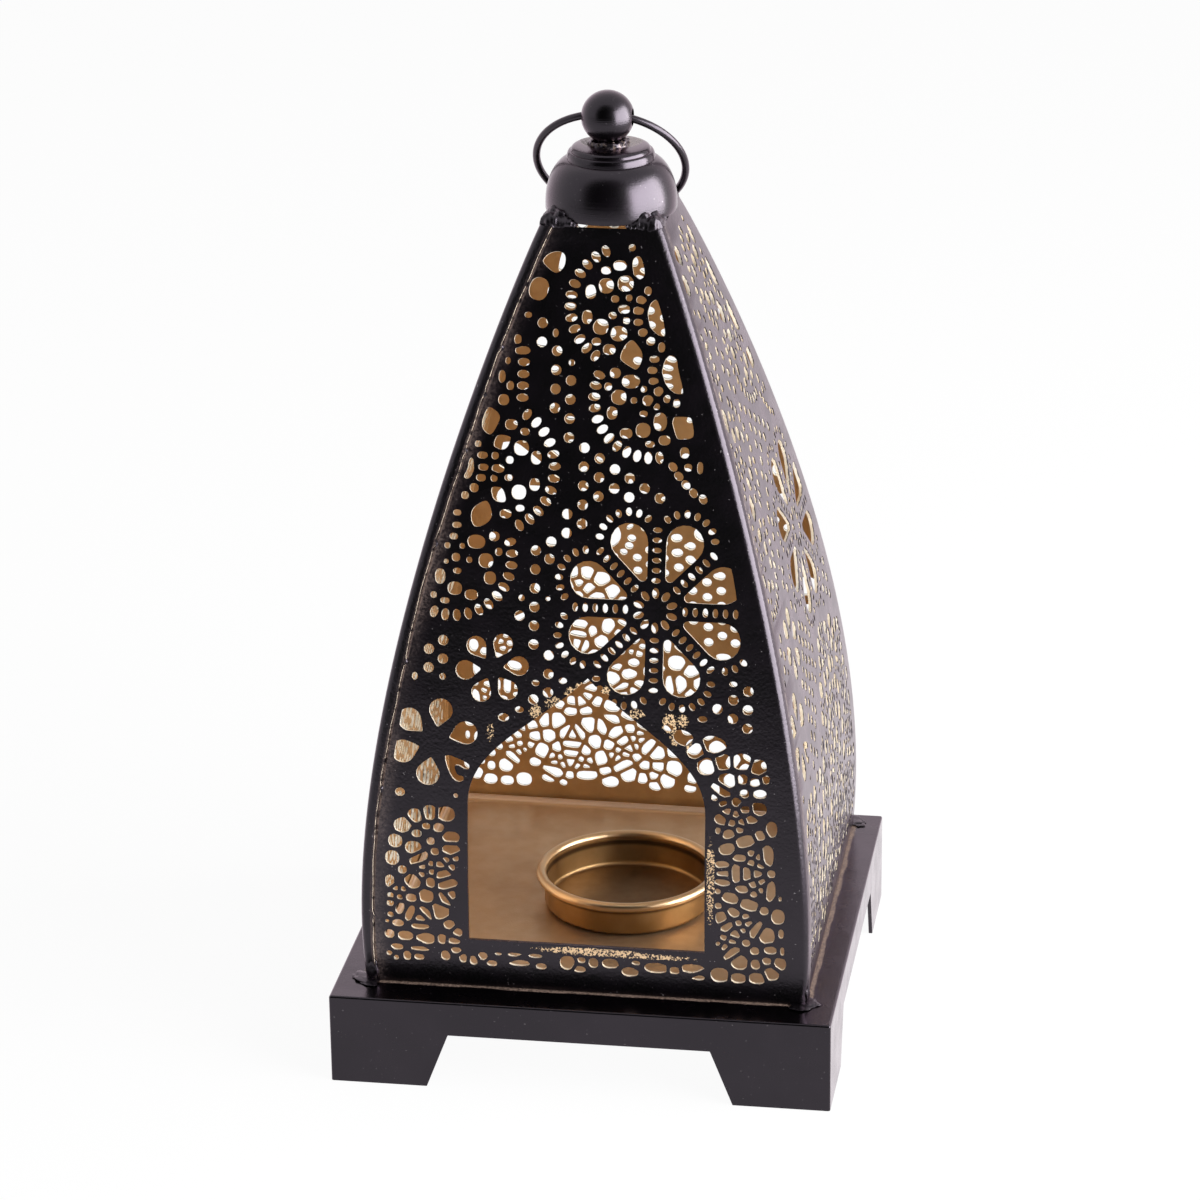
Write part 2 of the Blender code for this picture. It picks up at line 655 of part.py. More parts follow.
def build_cap_weld(name, turn, steel):
    """A bead from the dome's skirt down onto the top of a body corner."""
    flank = DOME_RADIUS + GAP
    low = PLINTH_HEIGHT + BODY_HEIGHT + GAP
    reach = (BODY_TOP_HALF - CORNER_RADIUS) * sqrt(2) + CORNER_RADIUS
    bulge = (flank + (reach - flank) * CAP_WELD_BULGE[0], low + CAP_WELD_HEIGHT * CAP_WELD_BULGE[1])
    section = [(flank, low), (reach, low), (reach, low + DOME_LIFT / 2), bulge, (flank, low + CAP_WELD_HEIGHT)]
    half = CAP_WELD_WIDTH / 2 / flank
    angles = [turn + half * (k / 2 - 1) for k in range(len(BEAD_SHARES))]
    bead = add_object("cap_weld_" + name, swept_bead(section, angles, BEAD_SHARES), steel, radians(60))
    bead.location = MIDDLE


def build_foot_weld(name, turn, steel):
    """A bead in the angle between a body corner and the plinth's top."""
    low = PLINTH_HEIGHT + GAP
    corner = Vector((sin(turn), -cos(turn))) * (BODY_FOOT_HALF - CORNER_RADIUS) * sqrt(2)
    inner = CORNER_RADIUS + 2 * GAP
    bulge = (inner + FOOT_WELD_REACH * FOOT_WELD_BULGE[0], low + FOOT_WELD_HEIGHT * FOOT_WELD_BULGE[1])
    section = [(inner, low), (inner + FOOT_WELD_REACH, low), bulge, (inner, low + FOOT_WELD_HEIGHT)]
    half = min(FOOT_WELD_WIDTH / 2 / inner, FOOT_WELD_HALF_TURN)
    angles = [turn + half * (k / 2 - 1) for k in range(len(BEAD_SHARES))]
    bead = add_object("foot_weld_" + name, swept_bead(section, angles, BEAD_SHARES), steel, radians(60))
    bead.location = MIDDLE + Vector((corner.x, corner.y, 0.0))


def build_neck_weld(steel):
    """A bead round the foot of the ball, under its curve."""
    low = TIER_TOP_Z + GAP
    inner = SPIGOT_RADIUS + NECK_WELD_CLEARANCE
    outer = inner + NECK_WELD_REACH
    clear = BALL_RADIUS + GAP
    under = [(r, BALL_Z - sqrt(clear ** 2 - r ** 2)) for r in (outer - GAP, (inner + outer) / 2, inner)]
    section = [(inner, low), (outer, low)] + under
    bead = add_object("neck_weld", turned(section, CAP_SEGMENTS), steel, radians(60))
    bead.location = MIDDLE


def build_lantern():
    clear_scene()
    black = material("black_paint", (0.022, 0.021, 0.026), 0.38, 0.0)
    gilt = material("gilt_paint", (0.45, 0.24, 0.09), 0.35, 0.85)
    steel = material("weld_bead", (0.10, 0.095, 0.10), 0.45, 0.6)
    build_plinth(black)
    plain = flat_sheet(has_door=False)
    pierced = flat_sheet(has_door=True)
    for name, turn in FACES:
        build_panel(name, radians(turn), pierced if name == "front" else plain, black)
    build_floor(gilt)
    build_cup(gilt)
    build_cap(black)
    build_ball(black)
    build_ring(black)
    for name, turn in CORNERS:
        build_cap_weld(name, radians(turn), steel)
        build_foot_weld(name, radians(turn), steel)
    build_neck_weld(steel)


build_lantern()
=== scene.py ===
"""Looks of the oriental lantern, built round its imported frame.

Metres, +Z up, doorway towards -Y. Each pierced panel is drawn flat in millimetres, across from its middle
line and up from its foot, and is then bent to the bow and folded round its right-hand corner.
"""
from math import asin, atan2, copysign, cos, hypot, pi, radians, sin
from random import Random

import bmesh
import bpy
import numpy as np
from mathutils import Matrix, Vector, noise
from mathutils.geometry import delaunay_2d_cdt


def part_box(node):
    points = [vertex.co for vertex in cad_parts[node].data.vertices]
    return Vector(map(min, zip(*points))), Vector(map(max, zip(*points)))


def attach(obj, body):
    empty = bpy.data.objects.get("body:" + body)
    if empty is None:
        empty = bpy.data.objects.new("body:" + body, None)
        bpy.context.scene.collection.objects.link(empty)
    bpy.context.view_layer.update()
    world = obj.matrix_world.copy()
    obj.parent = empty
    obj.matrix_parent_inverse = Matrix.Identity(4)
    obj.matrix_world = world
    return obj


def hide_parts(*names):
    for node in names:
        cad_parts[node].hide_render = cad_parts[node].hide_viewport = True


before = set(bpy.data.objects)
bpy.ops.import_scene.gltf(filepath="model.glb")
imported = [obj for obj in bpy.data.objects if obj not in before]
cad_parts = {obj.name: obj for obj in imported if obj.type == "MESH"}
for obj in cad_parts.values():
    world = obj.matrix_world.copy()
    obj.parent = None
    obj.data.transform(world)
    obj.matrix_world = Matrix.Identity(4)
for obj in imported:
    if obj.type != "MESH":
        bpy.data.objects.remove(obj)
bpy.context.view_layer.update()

MM = 0.001
BODY = "lantern"
FACES = (("front", 0), ("right", 90), ("back", 180), ("left", 270))
CORNERS = (("front_right", 45), ("back_right", 135), ("back_left", 225), ("front_left", 315))

# Body, the same bow as the solids have
BODY_SET_BACK = 0.003
BODY_SHEET = 0.0009
PLINTH_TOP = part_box("plinth")[1][2]
BOW_FOOT = (0.05525, 0.0234)
BOW_FOOT_HANDLE = (0.06155, 0.0981)
BOW_TOP_HANDLE = (0.0182, 0.2021)
BOW_TOP = (0.0150, 0.2087)
CORNER_RADIUS = 0.0018
FOLD_ARC = CORNER_RADIUS * pi / 2
SEAM_LAP = 0.00115
PANEL_FOOT_GAP = 0.0003
MIDDLE = Vector((0.0, BODY_SET_BACK, 0.0))

# How finely the panels are divided
BOW_STEPS = 600
RIM_STEP = 0.0012
ROWS_EVERY = 3
CORNER_STEPS = 6
# How much of the flat sheet one unit of a panel's UVs covers
UV_SPAN = 0.2

# Seams, where each folded edge laps over the next panel and is tacked to it, in metres of the flat sheet
SEAM_TACKS = (0.0185, 0.0513, 0.0839, 0.1132, 0.1363, 0.1499, 0.1613, 0.1920)
TACK_SHIFT = 0.0013
TACK_JOG = 0.0005
TACK_HALF_HEIGHT = 0.0011
TACK_RADII = (0.0006, 0.0006, 0.0009)
TACK_SINK = 0.0004
TACK_JOG_SHARE = 0.6
TACK_ROUGHNESS = 0.5
TACK_SEED = 7
# A seam's slow and quick waves: size, turns per metre of sheet, shift from corner to corner
SEAM_WAVES = ((0.00022, 112, 1.9), (0.00008, 540, 4.1))
SEAM_LIP = 0.00028
SEAM_TUCK = 0.0002
SEAM_SINK = 0.00045
SEAM_RAMP = 0.0009
SEAM_RAMP_STEPS = 4
RIM_MATCH = 0.00001
LINE_MATCH = 0.0001
# Order of a panel's materials
BLACK, GOLD, CUT, LIP = range(4)

# Cap, with the place and radius of the dust on its tier, and leans to the right
DOME_DROP = 0.00075
DOME_RADIUS = 0.0161
DOME_SKIRT = 0.0015
DOME_SHOULDER = 0.0065
DOME_SHEET = 0.0009
DOME_SEAT = 0.0001
DOME_LIP = (0.0002, 0.0003)
SPIGOT_HOLE = 0.0023
SPIGOT_PLAY = 0.0003
TIER_RADIUS = 0.0108
TIER_FOOT = 0.22205
TIER_BAND = (0.0101, 0.2239)
TIER_STEP = 0.0003
TIER_EDGE = (0.0088, 0.22505)
TIER_CROWN = 0.00035
DUST_SET_BACK = 0.0035
DUST_RADIUS = 0.0078
CAP_LEAN = 0.0004
BALL_LEAN = -0.0003
BALL_RADIUS = 0.0065
BALL_HOLE_RADIUS = 0.0021

# Doorway of the front panel, in millimetres of the flat sheet
DOOR_CENTRE = 0.8
DOOR_HALF = 29.4
DOOR_SILL = 13.1
DOOR_SPRING = 49.0
DOOR_APEX = 82.0
DOOR_SHOULDER_RISE = 14.5
DOOR_POINT_OUT = 12.0
DOOR_POINT_DOWN = 12.3
DOOR_STEPS = 22

# Rosette and its dots as width and height, in millimetres of the flat sheet
ROSETTE = (16.9, 99.4)
ROSETTE_PETALS = 8
PETAL_TIP = (8.75, 1.15)
PETAL_END = (17.8, 4.6)
ROSETTE_TRIM = ((36.0, 106.5), (0.98, 0.2))
SPOKE_DOTS = 6
SPOKE_FIRST = 7.3
SPOKE_PITCH = 2.46
SPOKE_DOT = (1.35, 2.3)
HUB_DOTS = 10
HUB_RADIUS = 4.25
HUB_DOT = (2.7, 1.75)
SCALLOP_DOTS = 7
SCALLOP_RADIUS = 7.3
SCALLOP_PITCH = radians(20)
SCALLOP_DOT = (2.1, 1.5)
EDGE_MARGIN = 7.0

# Flowers: centre, first direction in degrees, where petals start and end, their half-width
FLOWER_PETALS = 6
FLOWER_TIP = 0.5
UPPER_FLOWER = (-22.8, 83.4, 7, 2.9, 9.1, 2.45)
LOWER_FLOWER = (-36.9, 64.2, 19, 4.0, 11.2, 2.95)
LOWER_FLOWER_TRIM = ((-46.3, 64.2), (-0.985, 0.17))
CUT_PETAL = (
    (2.4, -3.4), (3.6, -7.4), (4.9, -9.4), (6.3, -9.9), (7.5, -9.2), (7.2, -8.2), (5.9, -8.1), (5.2, -6.8),
    (5.1, -5.5), (6.3, -5.7), (7.8, -6.6), (8.9, -6.2), (8.6, -5.0), (6.4, -4.0), (3.7, -3.0),
)

# Swirls of radial dots: centre, radius, first and last angle in degrees
SWIRLS = (
    (8.2, 172.6, 14.6, 116.6, 236.7), (14.5, 150.5, 14.2, 158.0, 279.0),
    (-24.3, 132.4, 15.6, 57.5, -61.7), (-33.0, 110.5, 14.5, 16.0, -107.6),
)
SWIRL_DOTS = 12
SWIRL_DOT = (3.0, 2.0)

# Columns of round dots: across, top, count
DOT_COLUMNS = (
    (-13.0, 167.8, 2), (-9.2, 161.2, 4), (-5.5, 154.2, 4), (-1.6, 138.1, 5), (2.2, 135.7, 3),
    (6.0, 133.2, 2), (9.7, 131.2, 2), (13.4, 128.9, 1), (17.2, 126.7, 1), (-5.3, 121.9, 2),
    (-9.0, 115.0, 1), (-12.7, 112.7, 6), (-9.3, 110.8, 1), (-16.3, 96.6, 1), (-8.9, 87.2, 3),
    (-12.5, 76.1, 1), (36.5, 78.4, 2), (40.1, 80.7, 3), (32.7, 76.0, 1), (-35.0, 89.7, 2), (-38.5, 87.4, 2),
)
DOT_SIZE = 2.6
DOT_PITCH = 4.6

# Single dots and stones: across, up, width, height, tilt in degrees. A round one has only its width
ODD_DOTS = (
    (-9.7, 165.5, 1.5, 2.1), (-5.5, 158.5, 1.6), (-15.9, 101.0, 1.6), (-9.4, 101.1, 1.2),
    (-5.3, 81.1, 2.1, 1.6), (-12.0, 80.2, 2.0, 1.6), (-15.9, 73.4, 2.2, 1.7), (-19.8, 71.3, 2.8, 2.1),
    (36.4, 82.3, 2.0, 1.4), (29.1, 73.3, 2.4, 1.6), (-35.0, 80.7, 1.7), (-41.9, 80.5, 1.5, 2.0),
    (-45.4, 51.1, 2.5, 2.2), (-31.5, 50.9, 1.2), (-17.2, 161.0, 3.0, 2.0), (-17.2, 158.2, 3.0, 2.0),
    (-17.2, 155.3, 3.0, 2.0), (-17.2, 152.5, 3.0, 2.0), (-17.2, 149.6, 3.0, 2.0),
    (20.1, 134.4, 2.5, 2.0, -45), (21.6, 132.2, 2.5, 2.0, -40), (23.4, 130.2, 2.5, 2.0, -50),
    (25.3, 128.3, 2.5, 2.0, -55), (27.7, 126.9, 2.5, 2.0, -60), (-16.6, 169.6, 1.9, 1.5),
)

# Stones in the upper swirls
UPPER_STONES = (
    (-10.8, 182.6, 5.8, 5.4), (-14.3, 176.0, 4.8, 5.6, -15), (9.8, 181.9, 2.8, 5.6, 15),
    (14.8, 169.9, 3.1, 8.7, 17), (19.2, 156.4, 3.6, 9.0, 14), (9.0, 161.0, 5.6, 6.8, 10),
    (22.2, 143.8, 5.2, 5.3), (16.6, 145.1, 3.3, 4.4), (12.5, 142.9, 3.6), (9.1, 154.5, 4.5, 3.3),
    (6.3, 150.6, 3.7), (2.1, 177.3, 3.7), (6.8, 178.0, 3.9), (1.2, 167.4, 3.8), (5.7, 165.9, 4.1, 3.7),
    (-1.6, 175.7, 2.6, 3.5), (-2.2, 169.6, 2.6, 3.4), (5.2, 182.3, 3.3, 2.5), (1.9, 181.0, 2.5, 1.9),
    (8.0, 186.7, 1.7), (3.5, 162.0, 3.1, 2.6), (0.3, 163.8, 2.3, 1.9), (5.2, 156.4, 2.7, 2.5),
    (4.8, 146.8, 2.6, 3.2), (8.4, 142.0, 3.1, 2.5), (17.8, 140.7, 2.9, 2.4), (14.3, 139.6, 2.3, 1.6),
    (22.8, 137.9, 2.3, 2.7), (23.8, 134.4, 1.9), (26.7, 134.4, 1.5, 2.9), (13.4, 150.1, 2.6),
    (12.3, 152.8, 1.6), (10.0, 150.0, 1.6), (15.6, 148.7, 1.6), (12.5, 146.9, 2.0, 1.5), (3.6, 153.1, 1.9),
    (14.6, 160.1, 2.4, 1.7), (14.2, 157.4, 2.4, 1.7), (14.6, 154.8, 2.4, 1.7), (15.9, 152.4, 2.3),
    (18.0, 150.7, 1.7, 2.0), (20.4, 149.7, 1.7, 2.1), (4.4, 174.2, 2.0, 1.7), (7.8, 174.6, 1.6),
    (10.8, 174.2, 2.5, 2.0), (12.3, 176.4, 1.8, 2.2), (6.7, 171.8, 3.0, 2.1), (10.2, 171.6, 2.7, 1.9),
    (4.0, 170.2, 2.0, 1.7), (7.4, 169.1, 1.7), (10.3, 168.8, 2.3, 1.7), (11.5, 166.4, 2.3, 2.0),
    (13.5, 164.4, 2.1), (16.2, 163.0, 1.7, 2.4),
)
MIDDLE_STONES = (
    (-18.9, 163.6, 1.8, 2.4), (-18.0, 161.0, 2.9, 2.0), (-21.1, 158.4, 1.3, 1.7), (-22.4, 154.5, 1.7, 3.1),
    (-20.3, 152.4, 1.8, 2.2), (-21.8, 148.9, 2.7), (-24.9, 143.7, 4.0, 6.2, -10), (-21.8, 138.7, 4.0, 3.6),
    (-17.0, 137.4, 3.7), (-13.3, 135.2, 2.6, 3.3), (-19.7, 143.0, 3.1, 2.6), (-16.3, 141.4, 2.3, 1.8),
    (-27.7, 138.0, 1.6), (-26.5, 135.3, 2.6, 1.7), (-23.4, 135.3, 1.8), (-19.8, 134.4, 1.9),
    (-26.2, 132.4, 2.5, 1.7), (-22.6, 132.2, 3.1, 2.1), (-29.6, 132.0, 1.8, 4.6), (-26.7, 129.8, 2.4, 1.8),
    (-23.5, 129.8, 1.7), (-19.9, 130.1, 2.1, 1.6), (-13.5, 128.7, 2.6, 3.1), (-17.3, 126.7, 3.6),
    (-22.3, 125.9, 3.8), (-28.3, 127.3, 2.2), (-30.5, 125.4, 1.9), (-16.9, 122.8, 2.2, 1.7),
    (-20.4, 121.3, 2.9, 2.2), (-26.4, 121.1, 5.5, 6.7, -10), (-32.3, 121.1, 2.0, 1.5),
    (-32.3, 118.1, 2.3, 1.5), (-33.0, 115.3, 2.1, 1.6), (-34.5, 113.0, 1.5), (-30.8, 113.0, 1.4),
    (-27.4, 114.2, 4.4, 3.4), (-23.0, 115.7, 2.6, 2.4), (-21.8, 112.0, 1.8, 2.0), (-32.3, 110.2, 2.1),
    (-29.0, 109.7, 1.5), (-24.9, 109.7, 3.6), (-34.7, 109.1, 1.2), (-31.9, 106.9, 2.1, 1.5),
    (-36.1, 105.4, 2.6, 3.8), (-23.8, 105.5, 3.0, 3.2), (-32.4, 102.6, 3.6, 3.3), (-28.3, 101.2, 3.3, 2.6),
    (-37.6, 100.8, 1.6), (-34.8, 99.5, 2.3, 1.5),
)

# Stones of those two groups with a shape of their own, as corners clockwise round the stone's middle
CUT_STONES = {
    (-10.8, 182.6): ((0.8, 2.7), (2.3, 2.2), (2.8, 0.9), (2.5, -1.2), (1.0, -2.7), (-0.3, -2.5), (-2.7, -0.4),
                     (-2.9, 0.5), (-1.5, 2.1)),
    (9.8, 181.9): ((-0.3, 3.0), (0.7, 2.3), (1.8, -1.8), (0.3, -3.0), (-1.1, -2.3), (-1.8, 1.8)),
    (14.8, 169.9): ((-0.6, 4.7), (0.3, 3.8), (2.4, -3.6), (1.4, -4.6), (-0.1, -4.1), (-1.9, -1.8),
                    (-2.4, 1.0), (-2.0, 3.3)),
    (19.2, 156.4): ((-1.5, 4.7), (-0.1, 4.8), (0.9, 3.8), (1.2, 1.5), (2.8, -3.8), (2.3, -4.8), (0.9, -4.5),
                    (-1.3, -2.9), (-2.8, 0.2), (-2.6, 3.1)),
    (9.0, 161.0): ((-0.2, 3.6), (0.7, 3.1), (2.8, 0.5), (2.4, -2.0), (1.5, -3.6), (0.5, -3.4), (-2.7, -1.5),
                   (-2.8, -0.2), (-1.7, 2.4)),
    (22.2, 143.8): ((-2.7, 2.7), (1.5, 2.8), (2.1, 2.1), (2.8, -1.7), (1.9, -2.5), (-1.0, -2.8), (-1.7, -2.1),
                    (-2.8, 1.5)),
    (-24.9, 143.7): ((0.0, 3.4), (2.4, 1.7), (2.2, -0.2), (0.6, -3.3), (-0.6, -3.3), (-2.4, -1.4),
                     (-1.1, 2.9)),
    (-21.8, 138.7): ((-0.9, 1.8), (2.0, 1.5), (2.1, 0.6), (1.1, -1.8), (-1.1, -1.9), (-2.2, -0.9),
                     (-1.7, 0.9)),
    (-22.3, 125.9): ((-1.9, 1.5), (-1.1, 1.9), (1.0, 1.8), (2.0, -1.0), (1.5, -1.9), (-0.3, -1.8),
                     (-1.5, -0.8)),
    (-26.4, 121.1): ((0.9, 3.5), (2.1, 2.4), (2.9, -0.7), (0.9, -2.9), (-2.1, -3.5), (-2.8, 0.9)),
    (-29.6, 132.0): ((-0.2, 2.3), (0.8, 2.8), (1.4, 2.0), (1.2, 0.0), (0.5, -2.0), (-0.6, -2.8), (-1.5, -2.1),
                     (-0.5, -0.3)),
}

# Pebbled ground at the right and left of the doorway
RIGHT_STONES = (
    (20.8, 70.7, 2.2, 1.5), (24.5, 68.4, 4.6, 3.4, -20), (32.1, 67.1, 5.4, 3.8, -15),
    (27.5, 65.3, 3.8, 3.6), (34.3, 62.9, 3.7), (39.0, 63.2, 4.3, 3.7), (30.2, 61.6, 4.0), (43.0, 62.0, 3.6),
    (35.4, 58.3, 3.9, 3.4), (39.2, 58.8, 2.3), (42.2, 58.2, 2.3, 2.0), (44.9, 59.0, 1.7, 2.0),
    (33.9, 55.6, 4.8, 2.6, -35), (39.7, 55.2, 2.0), (43.5, 55.3, 2.9, 2.1), (32.5, 53.9, 1.6),
    (34.5, 52.5, 1.8), (37.8, 53.0, 2.1), (43.1, 51.5, 3.9, 3.0), (35.5, 50.6, 2.0, 1.6),
    (40.1, 51.2, 3.0, 1.6), (37.7, 50.0, 1.6), (41.4, 48.8, 2.9, 1.9), (34.0, 48.3, 2.9, 2.4, -35),
    (36.7, 47.6, 1.7), (39.2, 48.0, 1.6), (46.5, 46.5, 2.5, 3.7), (33.4, 45.5, 1.2, 1.6),
    (36.0, 44.8, 2.9, 2.1, 25), (38.6, 46.0, 1.8, 1.5), (40.1, 43.1, 4.4, 2.7, 20), (43.7, 44.8, 2.3),
    (35.7, 40.9, 3.8, 2.7, 15), (41.6, 40.1, 1.6), (43.4, 39.3, 1.5), (45.6, 39.6, 2.7, 5.1),
    (38.8, 38.8, 3.2, 1.7), (41.6, 37.7, 1.7), (43.9, 37.0, 1.8, 1.3), (34.5, 36.8, 3.1, 1.8),
    (37.8, 34.7, 2.3, 4.5), (40.6, 34.8, 2.0, 3.5), (34.8, 34.5, 2.9, 1.6), (43.2, 34.9, 2.0),
    (46.6, 35.1, 1.8), (34.6, 32.2, 3.5, 1.8), (44.2, 32.9, 1.6), (42.0, 32.0, 1.8), (39.5, 30.7, 3.1, 1.8),
    (44.2, 30.7, 1.3), (46.4, 30.6, 2.3, 5.1), (42.3, 29.6, 1.6), (33.5, 29.8, 1.3), (48.8, 28.7, 0.7, 1.2),
    (36.6, 28.2, 3.9, 2.6, -12), (41.2, 26.6, 4.2, 2.8, -12), (33.6, 26.0, 1.5), (44.9, 25.3, 2.0),
    (48.3, 23.9, 3.0, 3.7), (37.4, 24.4, 2.8, 2.1, -30), (40.4, 23.5, 1.5), (34.3, 22.8, 2.5, 3.2),
    (38.6, 21.7, 1.4), (41.1, 21.7, 1.6), (35.7, 20.6, 3.4, 2.0, 55), (42.9, 20.2, 4.6, 2.2, 65),
    (39.7, 19.7, 1.2), (45.6, 18.7, 3.5, 4.0), (49.1, 19.4, 1.2, 2.3), (37.8, 18.6, 2.1), (34.9, 17.6, 1.5),
    (37.1, 16.6, 1.6), (40.5, 16.4, 1.8), (33.6, 15.8, 1.1), (35.2, 15.0, 1.6), (36.9, 13.5, 4.6, 2.4, 50),
    (42.6, 14.4, 2.0), (46.5, 14.8, 2.9, 2.0), (49.4, 14.7, 0.9, 2.1), (38.8, 11.0, 3.7),
    (42.8, 10.7, 2.1, 2.5), (45.6, 11.8, 2.1, 1.8), (48.8, 11.2, 2.8, 3.2), (33.9, 7.2, 4.1, 3.7),
    (38.5, 6.6, 3.5, 2.6), (43.1, 6.8, 3.7, 2.9), (46.8, 8.3, 3.3),
)
LEFT_STONES = (
    (-38.0, 46.2, 3.1, 3.5), (-34.0, 46.0, 4.1, 3.5), (-41.7, 45.2, 3.3), (-44.8, 42.6, 4.0, 3.5, 20),
    (-38.9, 42.6, 1.9, 1.5), (-35.8, 42.4, 2.5, 2.1), (-41.3, 40.6, 2.3, 1.8), (-32.7, 40.1, 3.9, 2.6),
    (-46.7, 38.4, 3.2), (-37.8, 38.8, 1.8), (-42.2, 36.9, 3.7, 3.0), (-32.7, 36.8, 4.0, 2.5),
    (-36.8, 36.1, 1.8), (-47.5, 33.9, 3.2, 3.5), (-40.7, 34.1, 4.9, 2.5, 30), (-34.0, 34.1, 1.4),
    (-31.6, 34.6, 1.4), (-37.8, 32.9, 1.3), (-35.5, 32.8, 2.1, 1.4), (-40.0, 32.0, 1.4), (-32.6, 32.2, 1.5),
    (-45.0, 30.9, 2.0), (-37.6, 30.7, 1.3), (-40.2, 29.9, 1.3), (-34.7, 30.2, 3.7, 1.9, 15),
    (-48.2, 27.7, 2.1, 3.0), (-42.5, 27.9, 3.7, 3.5), (-38.0, 27.8, 2.0, 2.5), (-33.7, 27.6, 4.6, 2.3, 18),
    (-46.8, 25.9, 1.2), (-44.8, 25.8, 1.2), (-32.7, 24.9, 1.7, 2.1), (-48.1, 23.9, 1.4), (-45.8, 23.5, 1.3),
    (-42.9, 23.5, 2.5, 2.0), (-39.1, 24.2, 3.3), (-34.5, 23.4, 4.2, 1.6, -60), (-48.2, 21.8, 1.6),
    (-45.8, 20.5, 3.0, 1.8, 70), (-43.3, 19.3, 4.1, 1.7, 68), (-35.7, 20.3, 4.1),
    (-39.1, 19.6, 4.0, 1.7, -45), (-48.2, 18.7, 1.4), (-40.7, 18.1, 2.2, 1.6), (-49.1, 16.9, 0.9),
    (-46.4, 16.5, 2.7, 1.8), (-33.5, 16.8, 2.6, 2.3), (-40.8, 15.9, 4.0, 1.5), (-31.4, 14.8, 2.1),
    (-48.6, 13.4, 2.2), (-44.6, 13.1, 3.5, 2.4), (-39.5, 12.6, 4.3, 2.8), (-35.4, 12.7, 2.0, 2.5),
    (-32.4, 12.4, 2.8, 1.6), (-46.8, 9.9, 2.8, 1.6), (-41.0, 9.7, 4.4, 1.2), (-48.8, 8.0, 1.3),
    (-47.1, 6.9, 1.2), (-44.3, 7.6, 1.8, 2.3), (-41.3, 7.4, 2.3, 1.6),
)
SILL_STONES = (
    (2.5, 8.5, 2.2, 2.6), (6.7, 8.6, 3.7, 2.5), (13.1, 9.2, 1.9, 1.2), (11.6, 6.6, 3.8, 2.4),
    (18.1, 8.1, 5.3, 2.6), (22.7, 7.7, 2.3, 1.9), (27.2, 8.5, 5.3, 2.3), (28.5, 6.1, 3.1, 1.3),
    (-3.9, 8.1, 3.6), (-0.5, 9.1, 1.9, 1.5), (-1.0, 6.5, 2.8, 1.7), (-10.6, 6.7, 2.4, 1.6),
    (-12.0, 9.5, 3.1, 1.1), (-16.1, 7.3, 4.8, 1.6), (-17.1, 9.5, 3.3, 1.0), (-21.3, 9.5, 1.6, 0.7),
    (-23.0, 6.8, 2.4, 1.5), (-25.2, 8.6, 2.1), (-27.6, 7.3, 1.8, 2.3), (-30.2, 7.7, 1.8, 2.2),
    (-34.6, 8.2, 2.1, 2.5), (-31.9, 9.8, 2.4, 1.6),
)

